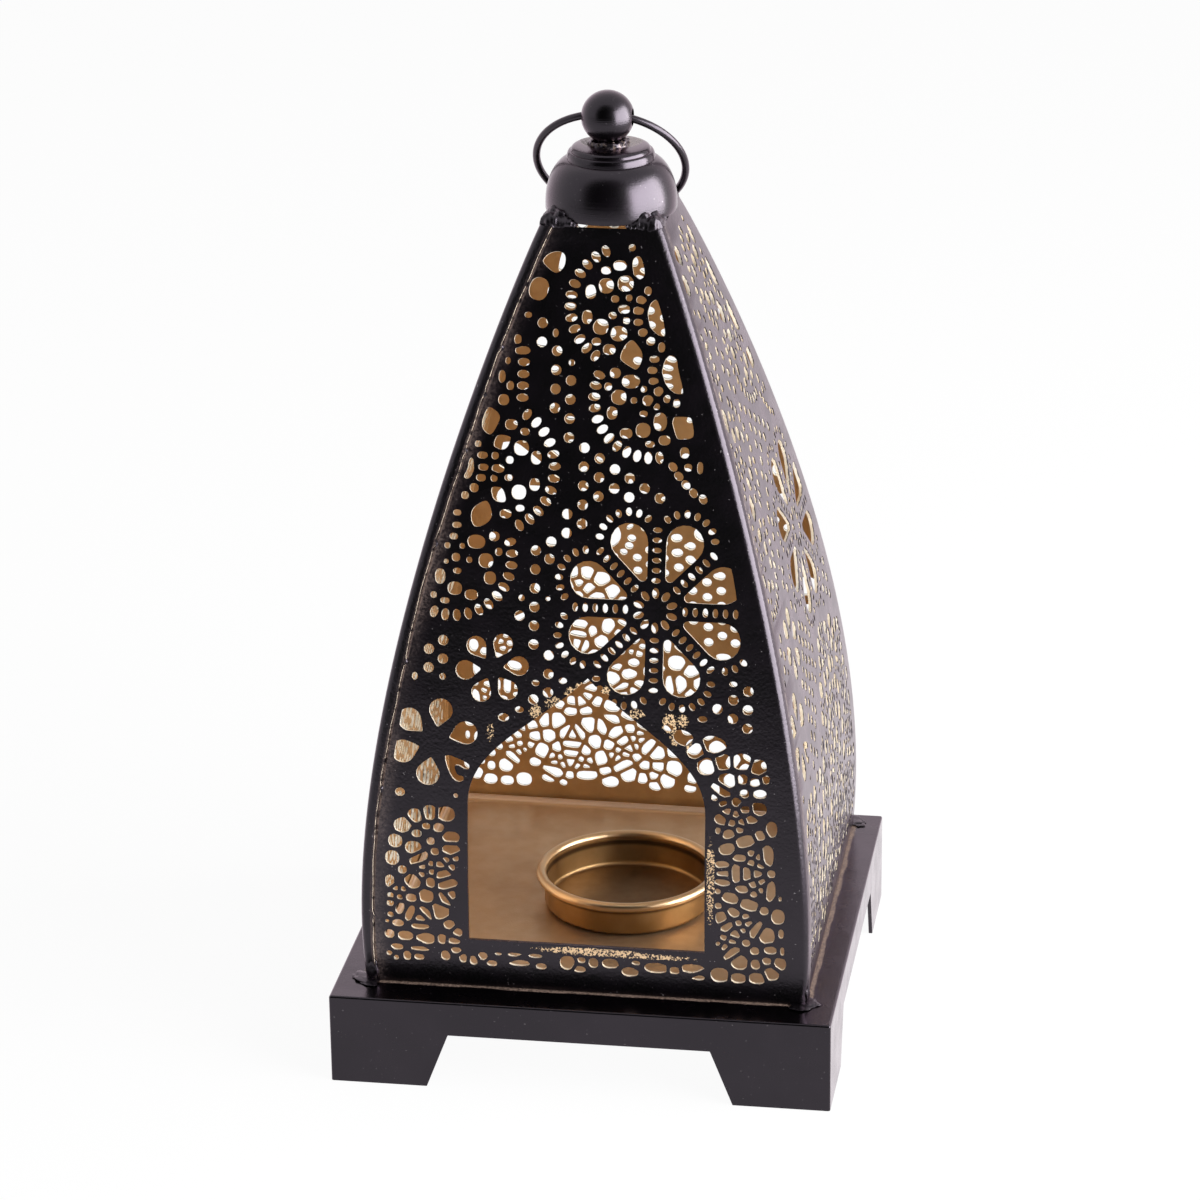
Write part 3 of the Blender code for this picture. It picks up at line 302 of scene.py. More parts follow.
# Pebbled ground of the panels without a doorway, where the front panel has its own
PLAIN_STONES = (
    (25.85, 10.1, 5.8, 3.2, 15), (27.3, 7.8, 3.4, 1.9, 15), (21.45, 9.1, 2.5, 2.1), (16.9, 9.5, 5.8, 3.1),
    (11.75, 10.85, 3.1, 2.5), (10.4, 7.75, 4.4, 3.1), (6.85, 12.75, 5.6, 3.3, -35),
    (5.3, 10.0, 4.4, 3.9, -20), (1.7, 9.2, 2.9, 3.0), (-1.4, 10.1, 2.6, 2.3), (-1.75, 7.15, 3.3, 2.4, 15),
    (-4.9, 8.75, 4.2, 4.0), (-6.75, 12.5, 4.5), (-2.6, 12.9, 3.6, 2.8), (1.0, 13.1, 2.9, 2.5),
    (-11.25, 7.0, 3.1, 2.2), (-11.8, 10.0, 2.5, 3.5), (-2.4, 16.7, 4.2, 3.9, -40),
    (0.0, 18.5, 5.2, 3.4, -45), (-7.0, 17.5, 4.0, 3.6), (3.15, 15.2, 2.5, 2.2), (6.2, 15.9, 2.1),
    (8.25, 17.2, 1.9), (10.05, 15.6, 1.9), (8.2, 14.7, 2.0), (5.3, 17.75, 2.5, 2.1), (3.25, 18.5, 1.8),
    (2.0, 20.4, 2.1), (4.0, 20.65, 2.0, 1.7), (2.25, 22.4, 2.0), (4.85, 23.65, 3.0, 2.5),
    (8.75, 22.25, 4.8, 2.8, -45), (6.75, 19.75, 3.7, 2.6, -35), (10.65, 18.4, 3.0, 3.3),
    (14.5, 19.15, 3.4, 4.3), (12.85, 14.5, 3.4, 4.6, 10), (16.95, 16.5, 2.5, 3.2), (20.75, 18.2, 5.3, 2.4),
    (21.05, 15.4, 4.3, 2.1), (24.8, 17.1, 2.5, 3.2), (27.0, 20.35, 3.5, 4.1), (28.9, 15.9, 3.7, 4.5, -10),
    (30.8, 12.4, 3.0, 2.5), (30.65, 20.0, 3.1, 3.0), (31.8, 17.35, 1.9), (31.5, 23.25, 3.3, 2.6),
    (27.85, 24.75, 2.8, 4.6, 25), (24.5, 24.75, 4.2, 5.0), (22.6, 22.0, 2.2, 4.8, 20),
    (20.55, 21.0, 1.9, 3.0), (18.5, 22.0, 2.2, 4.8, -18), (16.1, 24.1, 3.9, 5.0),
    (12.7, 23.75, 2.4, 4.8, -22), (20.95, 28.0, 3.5, 2.8), (16.75, 28.25, 3.3, 2.7),
    (20.55, 31.0, 2.4, 3.0), (17.9, 31.1, 2.4, 3.0), (13.55, 31.25, 3.0), (16.0, 32.75, 3.0, 2.3),
    (15.25, 35.25, 3.2, 2.4), (16.65, 37.25, 2.4, 1.8), (9.75, 29.75, 5.2, 3.0, 35),
    (9.65, 26.5, 4.6, 2.4, 30), (5.5, 27.5, 4.5, 2.2, 25), (1.5, 24.3, 4.0, 1.8, 30),
    (23.75, 29.75, 2.6, 2.4), (25.55, 12.4, 1.9), (26.1, 14.5, 2.0), (24.0, 14.25, 1.9, 1.7),
    (23.25, 12.0, 1.8), (21.15, 12.75, 2.5, 2.2), (19.35, 11.9, 1.9), (16.95, 11.75, 1.9),
    (18.3, 13.85, 1.9), (16.0, 13.6, 1.9), (9.0, 38.5, 4.0, 4.5), (5.0, 40.0, 4.5, 3.0, -15),
    (7.0, 36.0, 5.0, 2.0, -20), (3.5, 43.5, 3.0, 2.5, -20), (2.0, 46.3, 1.9), (1.0, 48.5, 1.8),
    (4.0, 46.8, 1.4), (8.0, 41.8, 3.0, 2.0, -30), (2.0, 37.0, 3.0, 2.5), (3.5, 34.5, 4.0, 3.0),
    (6.5, 33.8, 4.0, 1.5), (0.0, 41.0, 2.0, 3.0), (-8.0, 44.0, 4.5), (-12.0, 41.5, 4.2, 4.0),
    (-5.7, 49.0, 2.2, 4.0), (-9.0, 48.5, 4.0, 1.6, 40), (-6.0, 37.0, 2.2, 6.0), (-9.0, 37.5, 3.0, 5.5),
    (-14.0, 38.0, 3.0, 5.0), (-11.5, 35.0, 3.0, 2.8), (17.5, 54.5, 4.0, 2.8), (18.0, 51.5, 4.5, 2.4),
    (14.3, 52.5, 2.4, 3.4), (10.0, 54.3, 3.3, 4.8, 10), (12.0, 49.5, 3.6, 4.0), (18.5, 48.5, 2.0, 3.5),
    (16.5, 47.7, 2.0, 4.0, 15), (14.5, 45.5, 4.0, 2.5, -20), (7.5, 52.5, 2.0), (6.0, 55.5, 3.0, 1.5, 30),
    (15.0, 70.5, 3.8, 4.0), (11.3, 68.8, 4.6, 4.3), (17.3, 67.3, 2.8, 2.2), (14.7, 65.7, 3.4, 3.3),
    (17.8, 63.5, 2.8, 2.3), (12.8, 63.5, 5.0, 2.2), (8.5, 65.0, 4.0, 4.5), (6.0, 63.0, 3.0, 1.2),
    (18.5, 70.5, 2.3, 4.0, 25), (19.5, 66.5, 1.5, 3.0), (-20.5, 46.3, 4.0, 2.5),
)
PLAIN_COLUMNS = (
    (-5.5, 80.8, 3), (-9.4, 82.7, 6), (-12.8, 80.3, 6), (-16.7, 69.3, 5), (-20.4, 71.4, 5), (-23.8, 55.5, 2),
)
PLAIN_DOTS = (
    (5.0, 77.6, 2.0), (3.5, 79.6, 2.3), (2.7, 82.0, 2.3), (1.5, 76.0, 2.4), (1.5, 72.0, 2.4),
    (-1.9, 78.5, 2.5), (-1.9, 74.0, 2.5), (-1.9, 69.5, 2.5), (-5.5, 67.2, 2.5), (-2.2, 65.0, 2.3),
    (1.5, 67.5, 2.2),
)

# Ground between the drawn stones of those panels, filled with seeded ones: its outline and their radii
FILL_AREA = (
    (-31.0, 6.6), (33.0, 6.6), (33.0, 62.0), (27.0, 66.0), (22.0, 72.0), (10.0, 67.0), (0.0, 59.0),
    (-7.0, 50.0), (-12.0, 46.5), (-24.0, 44.5), (-31.0, 48.0),
)
FILL_RADII = (2.1, 1.7, 1.35, 1.0, 0.8)
FILL_TRIES = 900
FILL_SEED = 4
FILL_BRIDGE = 0.75
FILL_STRETCH = (0.85, 1.35)

# How much stones grow, and the bridges that are left between them
LOOSE_GROWTH = 1.02
PLAIN_GROWTH = 1.05
STONE_GROWTH = 1.13
STONE_ROUNDNESS = 0.85
STONE_BRIDGE = 0.86
STONE_REACH = 2.4
STONE_NEIGHBOURHOOD = 9.0
STONE_POINTS = 12
DOT_POINTS = 12
CLOSE_POINTS = 0.12
CORNER_CUT = 0.25


# Mesh helpers

SMOOTH_ANGLE = radians(40)
FOLD_ANGLE = radians(35)
LUMP_NOISE = (1.7, 5.0)
LUMP_FINE_SHARE = 0.4


def new_piece(name, bm, materials, body=BODY):
    """Object from a bmesh, riding on a body."""
    bmesh.ops.recalc_face_normals(bm, faces=bm.faces)
    mesh = bpy.data.meshes.new(name)
    bm.to_mesh(mesh)
    bm.free()
    mesh.shade_smooth()
    mesh.set_sharp_from_angle(angle=SMOOTH_ANGLE)
    for surface in materials:
        mesh.materials.append(surface)
    piece = bpy.data.objects.new(name, mesh)
    bpy.context.scene.collection.objects.link(piece)
    if body:
        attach(piece, body)
    return piece


def box(low, high):
    """A plain box from its lowest to its highest corner, to be bevelled or cut with."""
    bm = bmesh.new()
    bmesh.ops.create_cube(bm, size=1.0)
    for vert in bm.verts:
        vert.co = Vector([low[k] if vert.co[k] < 0 else high[k] for k in range(3)])
    return bm


def turned(outline, segments):
    """Spin a closed outline of (radius, z) about the Z axis. A radius of zero is a point on the axis."""
    bm = bmesh.new()
    rings = []
    for radius, z in outline:
        if radius == 0.0:
            rings.append([bm.verts.new((0.0, 0.0, z))])
            continue
        turn = [2 * pi * k / segments for k in range(segments)]
        rings.append([bm.verts.new((radius * cos(a), radius * sin(a), z)) for a in turn])
    for lower, upper in zip(rings, rings[1:] + rings[:1]):
        if len(lower) == 1 and len(upper) == 1:
            continue
        for k in range(segments):
            m = (k + 1) % segments
            below = [lower[k % len(lower)], lower[m % len(lower)]]
            above = [upper[m % len(upper)], upper[k % len(upper)]]
            bm.faces.new(list(dict.fromkeys(below + above)))
    return bm


def arc(centre, radii, start, stop, steps):
    """Points of an ellipse arc from start to stop degrees, in (radius, z)."""
    turn = [radians(start + (stop - start) * k / steps) for k in range(steps + 1)]
    return [(centre[0] + radii[0] * cos(a), centre[1] + radii[1] * sin(a)) for a in turn]


def lump(bm, centre, radii, turn, roughness, seed, detail=3):
    """A rough blob of weld metal: an icosphere pushed about by noise."""
    ball = bmesh.ops.create_icosphere(bm, subdivisions=detail, radius=1.0)["verts"]
    spin = Matrix.Rotation(turn, 3, "Z")
    coarse, fine = LUMP_NOISE
    for vert in ball:
        push = 1.0 + roughness * noise.noise(vert.co * coarse + Vector((seed, 0.0, 0.0)))
        push += LUMP_FINE_SHARE * roughness * noise.noise(vert.co * fine + Vector((0.0, seed, 0.0)))
        place = Vector([vert.co[k] * radii[k] for k in range(3)]) * push
        vert.co = Vector(centre) + spin @ place


# Bow of the body

def curve_at(t, start, start_handle, end_handle, end):
    """A cubic curve's value at a share t of its length."""
    return ((1 - t) ** 3 * start + 3 * t * (1 - t) ** 2 * start_handle
            + 3 * t * t * (1 - t) * end_handle + t ** 3 * end)


def bow_curve():
    """Distance up the sheet, half-width and height of points along the bow, from foot to top."""
    t = np.linspace(0.0, 1.0, BOW_STEPS + 1)[:, None]
    points = curve_at(t, *(np.array(p) for p in (BOW_FOOT, BOW_FOOT_HANDLE, BOW_TOP_HANDLE, BOW_TOP)))
    steps = np.hypot(*np.diff(points, axis=0).T)
    return np.concatenate(((0.0,), np.cumsum(steps))), points[:, 0], points[:, 1]


BOW_UP, BOW_HALF, BOW_Z = bow_curve()
PANEL_LENGTH = float(BOW_UP[-1])
BOW_LEAN = np.arctan2(-np.gradient(BOW_HALF), np.gradient(BOW_Z))


def half_at(up):
    return float(np.interp(up, BOW_UP, BOW_HALF))


def height_at(up):
    return float(np.interp(up, BOW_UP, BOW_Z))


def lean_at(up):
    """Angle of the sheet from upright, positive where it leans in."""
    return float(np.interp(up, BOW_UP, BOW_LEAN))


def bend(across, up, depth):
    """Place of a point of the flat sheet on the front face, at a depth below the outer surface."""
    half = half_at(up)
    lean = lean_at(up)
    flat = half - CORNER_RADIUS
    if across <= flat:
        place = Vector((across, -half, 0.0))
        turn = 0.0
    else:
        turn = min((across - flat) / CORNER_RADIUS, pi / 2)
        past = max(across - flat - FOLD_ARC, 0.0)
        place = Vector((flat + CORNER_RADIUS * sin(turn), -flat - CORNER_RADIUS * cos(turn) + past, 0.0))
    outward = Vector((sin(turn) * cos(lean), -cos(turn) * cos(lean), sin(lean)))
    return place + Vector((0.0, 0.0, height_at(up))) - outward * depth


# Outlines of the pierced shapes, in millimetres of the flat sheet

def whole(across, up, width, height=None, tilt=0.0):
    """All five parts of a stone or dot."""
    return across, up, width, height or width, tilt


def squarish(share, roundness):
    """A sine or cosine pushed outwards where the roundness is less than one."""
    return copysign(abs(share) ** roundness, share)


def oval(stone, growth=1.0, points=DOT_POINTS, roundness=1.0):
    """An ellipse, with flatter sides where the roundness is less than one."""
    across, up, width, height, tilt = whole(*stone)
    lean = radians(tilt)
    outline = []
    for k in range(points):
        turn = 2 * pi * (k + 0.5) / points
        x = width * growth / 2 * squarish(cos(turn), roundness)
        y = height * growth / 2 * squarish(sin(turn), roundness)
        outline.append((across + x * cos(lean) - y * sin(lean), up + x * sin(lean) + y * cos(lean)))
    return outline


def petal(centre, direction, tip, end, tip_points=5, end_points=12):
    """A drop round two circles on one line from the centre, each given as (distance, radius)."""
    side = asin((end[1] - tip[1]) / (end[0] - tip[0]))
    turns = [(tip, pi / 2 + side, 3 * pi / 2 - side, tip_points)]
    turns.append((end, -pi / 2 - side, pi / 2 + side, end_points))
    outline = []
    for (distance, radius), start, stop, points in turns:
        for k in range(points):
            a = start + (stop - start) * k / (points - 1)
            x, y = distance + radius * cos(a), radius * sin(a)
            outline.append((centre[0] + x * cos(direction) - y * sin(direction),
                            centre[1] + x * sin(direction) + y * cos(direction)))
    return outline


def clip(outline, point, normal):
    """The part of an outline behind the line through the point, whose normal faces what is cut off."""
    kept = []
    for a, b in zip(outline, outline[1:] + outline[:1]):
        da = (a[0] - point[0]) * normal[0] + (a[1] - point[1]) * normal[1]
        db = (b[0] - point[0]) * normal[0] + (b[1] - point[1]) * normal[1]
        if da <= 0:
            kept.append(a)
        if (da < 0) != (db < 0) and da != db:
            t = da / (da - db)
            kept.append((a[0] + (b[0] - a[0]) * t, a[1] + (b[1] - a[1]) * t))
    return kept


def rounded(outline):
    """Corners cut off along a share of each side, and points that lie close together joined."""
    cut = []
    for a, b in zip(outline, outline[1:] + outline[:1]):
        for share in (CORNER_CUT, 1 - CORNER_CUT):
            cut.append(((1 - share) * a[0] + share * b[0], (1 - share) * a[1] + share * b[1]))
    kept = []
    for point in cut:
        if not kept or hypot(point[0] - kept[-1][0], point[1] - kept[-1][1]) > CLOSE_POINTS:
            kept.append(point)
    return kept


def reach(stone, direction):
    """How far a stone's oval reaches from its middle in a direction."""
    _, _, width, height, tilt = whole(*stone)
    lean = radians(tilt)
    along = direction[0] * cos(lean) + direction[1] * sin(lean)
    beside = direction[1] * cos(lean) - direction[0] * sin(lean)
    return hypot(along * width / 2, beside * height / 2)


def stone_cells(stones, growth=STONE_GROWTH):
    """Stones grown towards each other and cut back by straight lines, so that even bridges are left."""
    for stone in stones:
        x, up = stone[:2]
        if (x, up) in CUT_STONES:
            outline = rounded([(x + a, up + b) for a, b in reversed(CUT_STONES[x, up])])
        else:
            outline = oval(stone, growth, STONE_POINTS, STONE_ROUNDNESS)
        for other in stones:
            gap = hypot(other[0] - x, other[1] - up)
            if other is stone or gap > STONE_NEIGHBOURHOOD:
                continue
            direction = ((other[0] - x) / gap, (other[1] - up) / gap)
            near, far = reach(stone, direction), reach(other, direction)
            if gap < near + far + STONE_REACH:
                line = near + (gap - near - far) / 2 - STONE_BRIDGE / 2
                outline = clip(outline, (x + direction[0] * line, up + direction[1] * line), direction)
        if len(outline) > 3:
            yield rounded(outline)


def around(centre, distance, turn):
    """The place at a distance from a centre in a direction."""
    return centre[0] + distance * cos(turn), centre[1] + distance * sin(turn)


def spoke_dot(centre, distance, turn, size):
    """A dot at a place round a centre, turned with its direction."""
    return oval((*around(centre, distance, turn), *size, turn * 180 / pi))


def rosette_holes():
    """Petals between dotted spokes, a dotted hub and dots scalloped round each petal's end."""
    for k in range(ROSETTE_PETALS):
        spoke = 2 * pi * k / ROSETTE_PETALS
        for m in range(SPOKE_DOTS):
            yield spoke_dot(ROSETTE, SPOKE_FIRST + SPOKE_PITCH * m, spoke, SPOKE_DOT)
        direction = spoke + pi / ROSETTE_PETALS
        drop = petal(ROSETTE, direction, PETAL_TIP, PETAL_END)
        if k == 0:
            drop = rounded(clip(drop, *ROSETTE_TRIM))
        yield drop
        end = around(ROSETTE, PETAL_END[0], direction)
        for m in range(SCALLOP_DOTS):
            turn = direction + (m - (SCALLOP_DOTS - 1) / 2) * SCALLOP_PITCH
            across, up = around(end, SCALLOP_RADIUS, turn)
            if abs(across) < half_at(up * MM) / MM - EDGE_MARGIN:
                yield spoke_dot(end, SCALLOP_RADIUS, turn, SCALLOP_DOT)
    for k in range(HUB_DOTS):
        yield spoke_dot(ROSETTE, HUB_RADIUS, 2 * pi * (k + 0.5) / HUB_DOTS, HUB_DOT)


def flower_holes(flower, trim=None, cut=None):
    """Six petals; trim is a line that cuts them short, and cut an outline that stands for the last one."""
    x, up, phase, inner, outer, half_width = flower
    for k in range(FLOWER_PETALS):
        if cut and k == FLOWER_PETALS - 1:
            yield rounded([(x + a, up + b) for a, b in cut])
            continue
        direction = radians(phase) + 2 * pi * k / FLOWER_PETALS
        drop = petal((x, up), direction, (inner + FLOWER_TIP, FLOWER_TIP), (outer - half_width, half_width))
        if trim:
            drop = rounded(clip(drop, *trim))
        yield drop


def swirl_holes():
    for x, up, radius, first, last in SWIRLS:
        for k in range(SWIRL_DOTS):
            turn = radians(first + (last - first) * k / (SWIRL_DOTS - 1))
            yield spoke_dot((x, up), radius, turn, SWIRL_DOT)


def column_holes(columns):
    for x, top, count in columns:
        for k in range(count):
            yield oval((x, top - DOT_PITCH * k, DOT_SIZE))


def inside(x, up, outline):
    """Whether a point lies inside an outline."""
    crossings = 0
    for a, b in zip(outline, outline[1:] + outline[:1]):
        if (a[1] > up) != (b[1] > up) and x < a[0] + (b[0] - a[0]) * (up - a[1]) / (b[1] - a[1]):
            crossings += 1
    return crossings % 2 == 1


def is_free(x, up, radius, placed):
    """Whether a round stone would keep its bridges to all that are placed."""
    for other in placed:
        gap = hypot(other[0] - x, other[1] - up)
        away = ((other[0] - x) / gap, (other[1] - up) / gap)
        if gap - reach(other, away) < radius + FILL_BRIDGE:
            return False
    return True


def with_filling(stones):
    """The stones, and seeded ones in what is left of the pebbled ground, the largest first."""
    draw = Random(FILL_SEED)
    placed = list(stones)
    wide = [p[0] for p in FILL_AREA]
    tall = [p[1] for p in FILL_AREA]
    for radius in FILL_RADII:
        for _ in range(FILL_TRIES):
            x, up = draw.uniform(min(wide), max(wide)), draw.uniform(min(tall), max(tall))
            stretch, tilt = draw.uniform(*FILL_STRETCH), draw.uniform(-90, 90)
            if inside(x, up, FILL_AREA) and is_free(x, up, radius, placed):
                placed.append((x, up, 2 * radius * stretch, 2 * radius, tilt))
    return placed


def door_outline():
    """Straight jambs to the springing, then an ogee up to the point."""
    side = []
    for k in range(DOOR_STEPS + 1):
        x = curve_at(k / DOOR_STEPS, DOOR_HALF, DOOR_HALF, DOOR_POINT_OUT, 0.0)
        up = curve_at(k / DOOR_STEPS, DOOR_SPRING, DOOR_SPRING + DOOR_SHOULDER_RISE,
                      DOOR_APEX - DOOR_POINT_DOWN, DOOR_APEX)
        side.append((x, up))
    right = [(DOOR_HALF, DOOR_SILL)] + side
    left = [(-x, up) for x, up in reversed(right[:-1])]
    return [(DOOR_CENTRE + x, up) for x, up in right + left]


def shared_holes():
    yield from rosette_holes()
    yield from flower_holes(UPPER_FLOWER)
    yield from flower_holes(LOWER_FLOWER, LOWER_FLOWER_TRIM, CUT_PETAL)
    yield from swirl_holes()
    yield from column_holes(DOT_COLUMNS)
    yield from map(oval, ODD_DOTS)
    yield from stone_cells(UPPER_STONES, LOOSE_GROWTH)
    yield from stone_cells(MIDDLE_STONES, LOOSE_GROWTH)


def front_holes():
    yield from shared_holes()
    yield from stone_cells(RIGHT_STONES)
    yield from stone_cells(LEFT_STONES)
    yield from stone_cells(SILL_STONES)
    yield door_outline()


def plain_holes():
    yield from shared_holes()
    yield from column_holes(PLAIN_COLUMNS)
    yield from map(oval, PLAIN_DOTS)
    yield from stone_cells(with_filling(RIGHT_STONES + LEFT_STONES + PLAIN_STONES), PLAIN_GROWTH)


# Panels

def tack_places(corner):
    """Where the tacks of a seam are, a little lower from corner to corner."""
    return [tack - TACK_SHIFT * (len(FACES) - 1 - corner) for tack in SEAM_TACKS]


def seam_wave(corner, up):
    """Sideways wander of a seam, with a jog at each tack."""
    wave = sum(size * sin(up * pace + corner * shift) for size, pace, shift in SEAM_WAVES)
    for place in tack_places(corner):
        wave += TACK_JOG * max(0.0, 1.0 - abs(up - place) / TACK_HALF_HEIGHT)
    return wave


def panel_rim(corner):
    """Levels up the sheet, and at each the left edge, the end of the flat, and the folded edge."""
    count = int(PANEL_LENGTH / RIM_STEP / ROWS_EVERY) * ROWS_EVERY
    rows = []
    for k in range(count + 1):
        up = PANEL_FOOT_GAP + (PANEL_LENGTH - PANEL_FOOT_GAP) * k / count
        flat = half_at(up) - CORNER_RADIUS
        left = -(flat - SEAM_TUCK)
        right = flat + FOLD_ARC + SEAM_LAP + seam_wave(corner, up)
        rows.append((up, left, flat, right))
    return rows


def panel_sheet(holes, corner):
    """Points and triangles of the pierced sheet, in the flat, in metres."""
    points, edges, faces = [], [], []
    rows = panel_rim(corner)
    left, right = [], []
    for up, low, _, high in rows:
        left.append(len(points))
        points.append((low, up))
        right.append(len(points))
        points.append((high, up))
    last = None
    for k, (up, _, flat, _) in enumerate(rows):
        if k % ROWS_EVERY:
            continue
        first = len(points)
        ramp = [SEAM_LAP - flat + SEAM_RAMP * m / SEAM_RAMP_STEPS for m in range(SEAM_RAMP_STEPS + 1)]
        fold = [flat + FOLD_ARC * m / CORNER_STEPS for m in range(CORNER_STEPS + 1)]
        points += [(across, up) for across in ramp + fold]
        line = [left[k]] + list(range(first, len(points))) + [right[k]]
        edges += list(zip(line, line[1:]))
        if last:
            edges += list(zip(last[1:-1], line[1:-1]))
        if k == 0:
            foot = line
        last = line
    faces.append(foot + right[1:-1] + last[::-1] + left[-2:0:-1])
    for hole in holes:
        first = len(points)
        points += [(x * MM, up * MM) for x, up in hole]
        faces.append(list(range(first, first + len(hole))))
    flat = [Vector(p) / MM for p in points]
    verts, _, triangles, _, _, origin = delaunay_2d_cdt(flat, edges, faces, 1, 1e-4)
    kept = [t for t, source in zip(triangles, origin) if list(source) == [0]]
    return [v * MM for v in verts], kept


def seam_depth(across, up):
    """Step in of the left edge under the neighbour's fold, less how far the folded edge's lip stands out."""
    flat = half_at(up) - CORNER_RADIUS
    proud = min(max((across - flat - FOLD_ARC) / SEAM_LAP, 0.0), 1.0)
    tucked = min(max((SEAM_LAP - flat + SEAM_RAMP - across) / SEAM_RAMP, 0.0), 1.0)
    return SEAM_SINK * tucked * tucked * (3 - 2 * tucked) - SEAM_LIP * proud


def rim_key(across, up):
    return round(across / RIM_MATCH), round(up / RIM_MATCH)


def on_line(place, outline):
    """Whether a place lies on one of an outline's sides, by the detour over it from end to end."""
    for a, b in zip(outline, outline[1:] + outline[:1]):
        detour = hypot(place[0] - a[0], place[1] - a[1]) + hypot(place[0] - b[0], place[1] - b[1])
        if detour - hypot(b[0] - a[0], b[1] - a[1]) < LINE_MATCH:
            return True
    return False


def build_panel(name, turn, holes, corner, surfaces, painted_hole=()):
    """Outer skin, inner skin and the walls between. UVs are flat-sheet places, or on cut edges the depth."""
    verts, triangles = panel_sheet(holes, corner)
    bm = bmesh.new()
    uv = bm.loops.layers.uv.new("UVMap")
    spin = Matrix.Rotation(turn, 4, "Z")
    used = sorted({k for t in triangles for k in t})
    skins = []
    flat_place = {}
    for inset in (0.0, BODY_SHEET):
        skin = {}
        for k in used:
            x, up = verts[k]
            skin[k] = bm.verts.new(MIDDLE + spin @ bend(x, up, inset + seam_depth(x, up)))
            flat_place[skin[k]] = (x / UV_SPAN + 0.5, up / UV_SPAN)
        skins.append(skin)
    outer, inner = skins
    seen = set()
    for t in triangles:
        bm.faces.new([outer[k] for k in t])
        bm.faces.new([inner[k] for k in reversed(t)]).material_index = GOLD
        seen.update(zip(t, t[1:] + t[:1]))
    borders = [(a, b) for a, b in seen if (b, a) not in seen]
    rows = panel_rim(corner)
    rim = {rim_key(low, up) for up, low, _, _ in rows}
    lip = {rim_key(high, up) for up, _, _, high in rows}
    on_lip = {k for k, _ in borders if rim_key(*verts[k]) in lip}
    on_rim = {k for k, _ in borders if rim_key(*verts[k]) in rim or verts[k][1] < PANEL_FOOT_GAP + RIM_MATCH
              or verts[k][1] > PANEL_LENGTH - RIM_MATCH or on_line(verts[k] / MM, painted_hole)}
    on_rim |= on_lip
    for a, b in borders:
        wall = bm.faces.new((outer[b], outer[a], inner[a], inner[b]))
        ends = {a, b}
        wall.material_index = LIP if ends <= on_lip else BLACK if ends <= on_rim else CUT
    deep = set(inner.values())
    for face in bm.faces:
        for loop in face.loops:
            across, up = flat_place[loop.vert]
            if face.material_index == CUT:
                up = float(loop.vert in deep)
            loop[uv].uv = (across, up)
    panel = new_piece("pierced_panel_" + name, bm, surfaces)
    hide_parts("panel_" + name)


# Materials

# Black paint: how much its ground reflects straight on and at a grazing angle, below a clear coat
DARK = (0.012, 0.007, 0.0135)
LIGHT = (0.016, 0.010, 0.0175)
GRAZING_TINT = (0.95, 0.73, 0.86)
COAT_IOR = 1.4

# Dust, gold that shows through, and painted shade in the cup
SPECK_DUST = (0.30, 0.28, 0.29)
FOLD_DUST = (0.105, 0.078, 0.068)
TIER_DUST = (0.33, 0.285, 0.27)
JOINT_DUST = (0.19, 0.135, 0.105)
BARED_GOLD = (0.60, 0.42, 0.24)
CUP_FLOOR_SHADE = (0.21, 0.135, 0.075)
CUP_BEAD_SHADE = (0.07, 0.04, 0.02)

# Distances between which dust sets in or fades: from a fold, from the body's foot, and below a top
FOLD_DUST_START = (0.0024, 0.0028)
FOLD_DUST_END = (0.0030, 0.0078)
JOINT_DUST_END = (0.0008, 0.0015)
PLINTH_DUST_DEPTH = (0.0006, 0.0003)
TIER_DUST_DEPTH = 0.0004
TIER_DUST_END = (-0.0006, 0.0004)

# Levels above the cup's foot where its painted shade on the bottom fades, and below its rim for the painted
# shade under the bead
CUP_FLOOR_SHADE_END = (0.0012, 0.0030)
CUP_BEAD_SHADE_START = (0.0032, 0.0022)
CUP_BEAD_SHADE_END = (0.0017, 0.0012)
CUP_BEAD_SHADE_STRENGTH = 0.9
# Depths below an upper edge over which gold lightens to a painted highlight, and the roughness there
HIGHLIGHT_RIM = (0.0013, 0.0008)
HIGHLIGHT_GLOSS = 0.28

# Worn patches round the doorway in millimetres of the flat sheet: middle, half-width, half-height, strength
WEAR_PATCHES = (
    (-0.6, 79.6, 3.2, 2.6, 1.0), (-3.2, 78.0, 3.0, 3.0, 1.0), (-7.2, 75.4, 4.4, 3.0, 1.0),
    (-11.8, 73.2, 3.2, 3.2, 1.0), (-23.0, 67.4, 2.0, 5.0, 0.88), (5.0, 79.0, 2.6, 2.6, 1.05),
    (12.8, 73.8, 4.0, 2.4, 0.95), (21.2, 71.8, 3.4, 4.6, 1.05), (24.4, 72.4, 2.4, 3.6, 1.0),
    (22.4, 68.4, 2.4, 4.0, 1.0), (26.0, 66.4, 1.8, 3.6, 0.95), (31.6, 32.0, 2.0, 21.0, 0.95),
    (31.6, 38.0, 2.0, 7.0, 1.0), (2.0, 11.6, 25.0, 1.9, 1.05), (14.0, 11.2, 24.0, 1.5, 1.0),
)
# Share of a patch's half-width or half-height over which it fades
WEAR_FADE = (0.3, 1.15)


